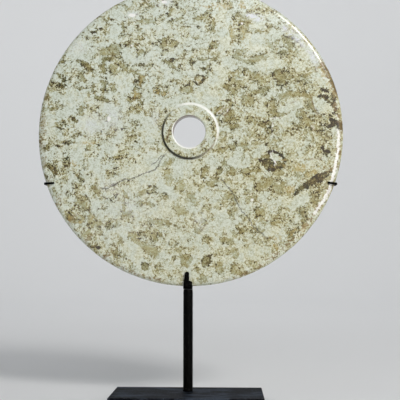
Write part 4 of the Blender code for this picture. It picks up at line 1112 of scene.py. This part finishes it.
def stone_fields(nodes):
    """The noise that the stone's layers share, and the values stored on the disc, by name.

    slow and warped are the place moved about by noise, so that what is drawn on them is less
    regular. The noise runs from cloud, the broadest, to grain, the finest.
    """
    place = nodes.place()
    slow = nodes.scatter(place, place, 14.0, 8.0)
    warped = nodes.scatter(slow, place, 3.6, 5.0)
    stone = SimpleNamespace(place=place, slow=slow, warped=warped)
    stone.cloud = nodes.field(slow, 26.0, 1.0)
    stone.blotch = nodes.field(slow, 9.0, 1.0)
    stone.mottle = nodes.field(warped, 5.0, 3.0, 0.68)
    stone.dapple = nodes.field(warped, 4.0, 1.0)
    stone.crumb = nodes.field(warped, 2.8, 1.0)
    stone.fine = nodes.field(place, 1.9, 1.0)
    stone.grain = nodes.field(place, 1.0, 1.0, 0.7)
    for name in ("marks", "tone", "plain", "patch", "patch_tone"):
        setattr(stone, name, nodes.stored(name))
    stone.broad, stone.diagonal, stone.veils = nodes.stored_three("areas")
    stone.ochre, stone.white, stone.brown = nodes.stored_three("spots")
    stone.pale_edge, stone.pale_lines, stone.brown_lines = nodes.stored_three("lines")
    return stone


def add_level(nodes, stone):
    """Add to the stone what is made of its marks and noise, for all its layers.

    ragged is how far inside a mark it is, with a torn edge. hand is the mark's tone there, halved
    deep inside all but the darkest marks. The level says how mottled it is: noise, raised by marks
    and broad areas and lowered in plain pockets. mottled and olive are two steps of the level, one
    low and one high.
    """
    stone.ragged = nodes.total(stone.marks, (stone.crumb, 0.6), (stone.fine, 0.35), (stone.grain, 0.2))
    core = nodes.remap(nodes.total(stone.ragged, (stone.dapple, 0.5)), 0.9, 2.2)
    core = nodes.times(core, nodes.remap(stone.tone, 0.85, 0.65))
    stone.hand = nodes.times(stone.tone, nodes.remap(stone.ragged, -0.3, 0.5),
                             nodes.total(1.0, (core, -0.5)))
    raised = nodes.remap(stone.marks, -3.0, 2.0, 0.0, 1.1)
    lowered = nodes.remap(stone.plain, -3.0, 2.0, 0.0, 1.5)
    stone.level = nodes.total(
        -0.35, (stone.mottle, 0.95), (stone.blotch, 0.45), (stone.cloud, 0.30), (raised, 1.0),
        (lowered, -1.0), (stone.hand, 0.3), (stone.broad, 1.0))
    stone.olive = nodes.remap(nodes.total(stone.level, (stone.dapple, 0.8), (stone.hand, 0.7)), 1.1, 2.2)
    stone.mottled = nodes.remap(stone.level, -1.3, 0.3)


def stone_darkness(nodes, stone):
    """How dark the stone is, from 0 palest to 1 darkest: the weighted sum of its level, marks and
    noise, with curls, outlines, specks and pale flecks. Curls and outlines are stronger, and blots
    join them, towards the upper left.
    """
    level, mottled = stone.level, stone.mottled
    tan = nodes.total(nodes.remap(level, -1.0, 1.0, 0.0, 0.25), (nodes.remap(level, -0.15, 0.15), 0.75))
    curl = nodes.times(nodes.remap(nodes.maths("ABSOLUTE", nodes.field(stone.warped, 5.5, 0.0)), 0.32, 0.10),
                       nodes.remap(mottled, 0.0, 1.0, 0.25, 1.0),
                       nodes.remap(nodes.field(stone.place, 8.0, 0.0), -0.2, 0.6))
    outline = nodes.times(nodes.band(level, -0.1, 0.05, 0.2, 0.45), nodes.remap(stone.crumb, -0.3, 0.7))
    mark_edge = nodes.times(nodes.band(stone.ragged, -0.7, 0.0, 0.6, 1.5),
                            nodes.remap(stone.dapple, -0.5, 0.5),
                            nodes.remap(stone.tone, 0.2, 0.8, 0.5, 1.4))
    outline = nodes.most(outline, mark_edge)
    stone.speck = nodes.times(nodes.remap(nodes.field(stone.place, 1.7, 0.0), 1.0, 1.7),
                              nodes.remap(mottled, 0.0, 1.0, 0.2, 1.0))
    fleck = nodes.times(nodes.remap(nodes.field(stone.warped, 2.2, 0.0), 0.6, 1.1),
                        nodes.remap(mottled, 0.0, 1.0, 0.3, 1.0),
                        nodes.remap(stone.hand, 0.85, 0.55))
    blot = nodes.times(nodes.remap(nodes.field(stone.slow, 4.2, 0.0), 0.45, 0.85),
                       nodes.remap(level, -0.9, 0.1))
    darkness = nodes.total(
        0.25, (tan, 0.26), (stone.broad, 0.06), (stone.hand, 0.20), (stone.olive, 0.12),
        (stone.dapple, 0.04), (stone.crumb, 0.05), (stone.fine, 0.09), (stone.grain, 0.13),
        (stone.cloud, 0.02), (curl, 0.30), (outline, 0.24), (stone.speck, 0.36), (fleck, -0.30),
        (nodes.remap(stone.hand, 0.65, 0.95), 0.32))
    detail = nodes.total(
        -0.06, (curl, 0.20), (outline, 0.16), (stone.crumb, 0.06), (stone.fine, 0.02), (fleck, -0.08),
        (blot, 0.15))
    return nodes.total(darkness, (detail, nodes.remap(stone.diagonal, 0.25, -0.35)))


def patched(nodes, stone, darkness):
    """The darkness with the smooth patches in it: each has its own tone, and a ragged, darker edge."""
    inside = nodes.total(0.4, (stone.patch, 1.0), (stone.crumb, 0.4), (stone.dapple, 0.3),
                         (stone.fine, 0.3), (stone.grain, 0.15))
    edge = nodes.times(nodes.band(inside, -0.5, 0.0, 0.3, 0.9), nodes.remap(stone.mottle, -0.6, 0.6))
    tone = nodes.total(0.05, (stone.patch_tone, 1.0), (stone.fine, 0.06), (stone.grain, 0.08),
                       (stone.mottle, 0.08), (edge, 0.26))
    share = nodes.times(nodes.remap(inside, -0.3, 0.3), 0.75)
    return nodes.total(darkness, (nodes.maths("SUBTRACT", tone, darkness), share))


def stone_colour(nodes, stone, darkness):
    """The darkness turned into a colour, by a cool ramp and a warm one, mixed by how warm it is here:
    warmer towards the lower right, with noise. A tint lies over it, then pale bluish veils and
    painted sheen highlights near the rim at the upper right.
    """
    warmth = nodes.total(0.0, (stone.diagonal, 0.5), (stone.blotch, 0.6), (stone.fine, 0.35),
                         (stone.cloud, 0.5))
    colour = nodes.mix(nodes.remap(warmth, -1.0, 1.0),
                       *(nodes.ramp(darkness, TONE_STOPS, tones) for tones in (COOL_TONES, WARM_TONES)))
    across = nodes.remap(stone.diagonal, -1.0, 1.0, smooth=False)
    colour = nodes.vectors("MULTIPLY", colour, nodes.mix(across, UPPER_LEFT_TINT, LOWER_RIGHT_TINT))
    torn = nodes.remap(nodes.total(0.0, (stone.crumb, 0.7), (stone.dapple, 0.5)), -0.8, 0.6)
    # Pale veils, and painted sheen highlights near the rim at the upper right
    return nodes.lay(colour, nodes.maths("MULTIPLY", stone.veils, torn, clamp=True), *VEIL_AND_PAINTED_SHEEN)


def with_stains(nodes, stone, colour):
    """The colour under ochre spots, brown rim stains that are partly painted shade on the rim's outer
    edge, brown hairlines, and what is white: crystals, painted glints, the painted highlight along the
    rim and pale hairlines. Noise makes all their edges ragged.
    """
    crumb, fine = stone.crumb, stone.fine
    ochre = nodes.remap(nodes.total(stone.ochre, (crumb, 1.8)), -0.5, 1.5)
    colour = nodes.lay(colour, ochre, *OCHRE)
    # Brown rim stains, partly painted shade on the rim's outer edge
    brown = nodes.remap(nodes.total(stone.brown, (crumb, 1.1), (fine, 0.8), (stone.mottle, 0.4)), -0.9, 1.3)
    brown = nodes.times(brown, nodes.remap(stone.diagonal, -0.6, 0.3, 0.35, 0.8))
    brown = nodes.maths("MULTIPLY", brown, nodes.remap(stone.mottle, -1.0, 0.8, 0.6, 1.05), clamp=True)
    colour = nodes.lay(colour, brown, *RIM_BROWN)
    brown_line = nodes.remap(nodes.total(stone.brown_lines, (fine, 0.3)), 1.1, 0.2)
    colour = nodes.lay(colour, brown_line, *BROWN_LINE)
    white = nodes.most(
        # White crystals, with two painted glints among them
        nodes.remap(nodes.total(stone.white, (fine, 0.3)), -0.2, 0.6),
        # Painted highlight along the rim's rounding on the right
        nodes.remap(nodes.total(stone.pale_edge, (fine, 0.4), (crumb, 0.4)), 2.2, 0.9, 0.0, 0.85),
        nodes.remap(nodes.total(stone.pale_lines, (fine, 0.3)), 1.0, 0.2, 0.0, 0.6))
    return nodes.lay(colour, white, *WHITE)


def stone_cracks(nodes, stone):
    """1 on a crack and 0 beside it: where the distance to its run of points, jagged by noise, is small."""
    jag = nodes.times(nodes.field(stone.place, 2.4), 0.6)
    drawn = []
    for name in ("cracks_a", "cracks_b"):
        for distance, share in zip(nodes.stored_three(name), nodes.stored_three(name + "_share")):
            from_line = nodes.maths("ABSOLUTE", nodes.maths("ADD", distance, jag))
            drawn.append(nodes.times(nodes.remap(from_line, 0.95, 0.25), share))
    return nodes.most(*drawn)


def with_collar(nodes, stone, colour):
    """The colour with a painted highlight on the collar's foot, high on the right, and on the hole's edge,
    low on the left, painted shade on the collar's outer wall, low on the left, and brownish painted
    shade on the hole's wall, high on the left. Gives back the collar wall's painted shade as well.

    Each is a band of distance from the hole's axis, times how far round towards its side it is.
    """
    top, foot, hole = COLLAR_TOP_RADIUS / MM, COLLAR_FOOT / MM, HOLE_RADIUS / MM
    to_axis = (-(DISC_X + HOLE_SHIFT_X) / MM, 0.0, -(DISC_Z + HOLE_SHIFT_Z) / MM)
    outward = nodes.vectors("MULTIPLY", nodes.vectors("ADD", stone.place, to_axis), (1.0, 0.0, 1.0))
    from_axis = nodes.vectors("LENGTH", outward)
    way_out = nodes.vectors("NORMALIZE", outward)
    depth = nodes.split(stone.place)[1]
    in_front = nodes.remap(depth, FRONT_FACE / MM + 2.0, FRONT_FACE / MM)

    def towards(side, low, high):
        """0 to 1 as the way out turns towards a side."""
        return nodes.remap(nodes.vectors("DOT_PRODUCT", way_out, side), low, high)

    low_left = towards(LOW_LEFT, -0.05, 0.65)
    # Painted highlight: near-white on the collar's foot, high on the right, where it faces the light
    lit_collar_foot = nodes.times(nodes.band(from_axis, foot - 1.8, foot - 0.8, foot + 0.8, foot + 1.8),
                            towards(HIGH_RIGHT, 0.2, 0.75))
    # Painted highlight: near-white on the hole's rounded edge, low on the left, where it faces the light
    lit_hole_edge = nodes.times(nodes.band(from_axis, hole - 0.2, hole + 0.2, hole + 1.2, hole + 2.0),
                            nodes.remap(low_left, 0.1, 0.7))
    # Both painted highlights, on the front alone
    worn = nodes.times(nodes.most(lit_collar_foot, lit_hole_edge), in_front)
    colour = nodes.lay(colour, worn, *PAINTED_EDGE_HIGHLIGHT)
    # Painted shade: near-black on the collar's outer wall, low on the left, where it is turned from the
    # light
    corner = nodes.band(from_axis, top - 0.2, top + 0.3, foot - 0.9, foot + 0.1)
    painted_shade = nodes.times(corner, low_left, in_front)
    colour = nodes.lay(colour, painted_shade, *CORNER_PAINTED_SHADE)
    # Painted shade: brownish on the hole's wall, high on the left, where it is turned from the light
    hole_wall_shade = nodes.times(nodes.remap(from_axis, hole + 0.8, hole + 0.2), towards(HIGH_LEFT, 0.1, 0.7))
    return nodes.lay(colour, hole_wall_shade, *HOLE_PAINTED_SHADE), painted_shade


def marble_material():
    """Pale sage marble, mottled tan and olive, with darker outlines, specks, stains and fine cracks.

    It is polished: smooth, and coated least where it is most mottled and where the collar's painted
    shade lies. Specks, cracks and olive patches are a little sunk.
    """
    material, nodes, shader = new_material("mottled marble")
    stone = stone_fields(nodes)
    add_level(nodes, stone)
    darkness = patched(nodes, stone, stone_darkness(nodes, stone))
    colour = with_stains(nodes, stone, stone_colour(nodes, stone, darkness))
    cracks = stone_cracks(nodes, stone)
    broken = nodes.times(cracks, nodes.remap(stone.grain, -1.0, 1.0, 1.0, 0.6))
    colour = nodes.lay(colour, broken, *CRACK_DIRT)
    colour, painted_shade = with_collar(nodes, stone, colour)
    height = nodes.total(0.0, (stone.grain, 0.04), (stone.speck, -0.5), (cracks, -0.7), (stone.olive, -0.15))
    nodes.bump(shader, height, 0.6, 0.12 * MM)
    # Rougher and less coated where the collar's painted shade lies
    roughness = nodes.total(0.30, (stone.olive, 0.10), (stone.speck, 0.2), (painted_shade, 0.3))
    coat = nodes.times(nodes.remap(stone.level, -0.5, 1.5, 0.6, 0.25), nodes.maths("SUBTRACT", 1.0, painted_shade))
    nodes.feed(shader.inputs["Base Color"], colour)
    nodes.feed(shader.inputs["Roughness"], roughness)
    nodes.feed(shader.inputs["Coat Weight"], coat)
    shader.inputs["Coat Roughness"].default_value = 0.12
    return material


def dust_group():
    """A node group: specks and smears of pale dust on a dark paint. Puts out a colour and a mask.

    Smears and a thin film are noise at the place times Squeeze, so they are drawn out along an axis
    by one over its squeeze, and the amount scales them. Its square root scales the specks.
    """
    group = bpy.data.node_groups.new("dust", "ShaderNodeTree")
    sockets = {
        "INPUT": (("Paint", "Color"), ("Dust", "Color"), ("Amount", "Float"), ("Squeeze", "Vector")),
        "OUTPUT": (("Color", "Color"), ("Mask", "Float")),
    }
    for way, named in sockets.items():
        for name, kind in named:
            group.interface.new_socket(name=name, in_out=way, socket_type="NodeSocket" + kind)
    nodes = Nodes(group)
    given = group.nodes.new("NodeGroupInput").outputs
    place = nodes.place()
    drawn = nodes.vectors("MULTIPLY", place, given["Squeeze"])
    specks = nodes.remap(nodes.noise(place, 1.6, 0.0), 0.72, 0.78)
    specks = nodes.times(specks, nodes.times(nodes.maths("SQRT", given["Amount"]), 0.9))
    smears = nodes.remap(nodes.noise(drawn, 12.0, 4.0, 0.7), 0.46, 0.60, 0.0, 0.85)
    film = nodes.remap(nodes.noise(drawn, 2.0, 3.0, 0.7), 0.40, 0.70, 0.0, 0.25)
    mask = nodes.times(nodes.most(smears, film), given["Amount"])
    mask = nodes.maths("MAXIMUM", mask, specks, clamp=True)
    result = group.nodes.new("NodeGroupOutput").inputs
    nodes.feed(result["Color"], nodes.mix(mask, given["Paint"], given["Dust"]))
    nodes.feed(result["Mask"], mask)
    return group


def paint_material(name, dust, paint, dust_colour, amount, squeeze, roughness, sheen):
    """Worn black paint: nearly black, dusty, a little rough, with a fine uneven surface."""
    material, nodes, shader = new_material(name)
    dusty = nodes.node("Group", node_tree=dust)
    for socket, value in (("Paint", paint), ("Dust", dust_colour), ("Amount", amount), ("Squeeze", squeeze)):
        dusty.inputs[socket].default_value = value
    nodes.feed(shader.inputs["Base Color"], dusty.outputs["Color"])
    nodes.feed(shader.inputs["Roughness"], nodes.total(roughness, (dusty.outputs["Mask"], 0.3)))
    shader.inputs["Specular IOR Level"].default_value = sheen
    nodes.bump(shader, nodes.noise(nodes.place(), 0.8, 2.0), 0.35, 0.05 * MM)
    return material


def floor_material():
    """A matt pale floor of one colour."""
    material, _, shader = new_material("pale floor")
    shader.inputs["Base Color"].default_value = shown(232, 233, 234)
    shader.inputs["Roughness"].default_value = 0.85
    return material


def make_camera():
    """The camera at the photograph's angle."""
    data = bpy.data.cameras.new("camera")
    data.sensor_width = CAMERA_SENSOR
    data.lens = CAMERA_LENS
    camera = bpy.data.objects.new("camera", data)
    camera.location = CAMERA_PLACE
    camera.rotation_euler = (radians(90.0 + CAMERA_LOOKS_UP), 0.0, radians(CAMERA_TURN))
    bpy.context.scene.collection.objects.link(camera)
    bpy.context.scene.camera = camera


def add_light(name, direction, distance, size, power, colour=(1.0, 1.0, 1.0), aim=None, spread=180.0):
    """A soft box at a distance from the disc's centre along a direction, facing it or the point aim."""
    data = bpy.data.lights.new(name, "AREA")
    data.shape = "RECTANGLE"
    data.size, data.size_y = size
    data.energy = power
    data.color = colour
    data.spread = radians(spread)
    light = bpy.data.objects.new(name, data)
    way = Vector(direction).normalized()
    light.location = Vector((DISC_X, 0.0, DISC_Z)) + way * distance
    if aim is not None:
        way = light.location - Vector(aim)
    light.rotation_euler = way.to_track_quat("Z", "Y").to_euler()
    light.visible_camera = False
    bpy.context.scene.collection.objects.link(light)


def make_stage():
    """A round pale floor that curves up into a pale wall all the way round, and the world's soft light.

    Radius and height = a flat floor, a quarter circle, and a straight wall.
    """
    angle = np.radians(np.linspace(0, 90, 20))
    curve = WALL_RADIUS - WALL_CURVE + WALL_CURVE * np.sin(angle)
    radius = np.concatenate([[1 * MM, FLOOR_FLAT_RADIUS], curve, [WALL_RADIUS]])
    height = np.concatenate([[0.0, 0.0], WALL_CURVE - WALL_CURVE * np.cos(angle), [WALL_HEIGHT]])
    points = radius[:, None, None] * circle(STAGE_SIDES, 2)
    points[..., 2] += height[:, None]
    faces = grid_faces(len(radius), STAGE_SIDES)[:, ::-1].tolist() + [list(range(STAGE_SIDES))]
    floor = make_piece("floor", points, faces, floor_material())
    world = bpy.data.worlds.new("soft light")
    world.use_nodes = True
    background = world.node_tree.nodes["Background"]
    background.inputs["Color"].default_value = (0.92, 0.96, 1.0, 1.0)
    background.inputs["Strength"].default_value = 0.2
    bpy.context.scene.world = world


def place_piece(piece, node):
    """Let a piece stand for a solid and ride with the part."""
    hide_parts(node)
    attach(piece, "root")


def main():
    """The camera, the stage, the lights and the five pieces."""
    bpy.context.scene.view_settings.view_transform = "Standard"
    make_camera()
    make_stage()
    add_light("key", (0.49, -0.64, 0.587), 2.2, (0.60, 0.60), 27.0, (1.0, 0.98, 0.95))
    add_light("right", (0.46, -0.86, 0.03), 2.2, (0.60, 0.60), 1.12, spread=60.0)
    add_light("above", (0.18, -0.87, 0.40), 2.2, (0.80, 0.30), 2.5, (0.90, 0.94, 1.0))
    add_light("wall", (0.0, 0.55, 0.83), 2.0, (2.4, 0.6), 15.0, aim=(0.0, WALL_RADIUS, 0.2))
    place_piece(make_disc(marble_material()), "marble_disc")
    dust = dust_group()
    plate_paint = paint_material("worn black plate paint", dust, shown(7, 9, 13), shown(100, 110, 126),
                                 amount=0.36, squeeze=(0.3, 1.0, 1.0), roughness=0.5, sheen=0.015)
    stand_paint = paint_material("satin black stand paint", dust, shown(3, 3, 3), shown(112, 104, 94),
                                 amount=0.012, squeeze=(1.0, 1.0, 0.4), roughness=0.35, sheen=0.04)
    place_piece(make_plate(plate_paint), "foot_plate")
    place_piece(make_rod(stand_paint), "upright_rod")
    place_piece(make_strap(stand_paint), "cradle_strap")
    place_piece(make_arm(stand_paint), "cross_arm")


main()
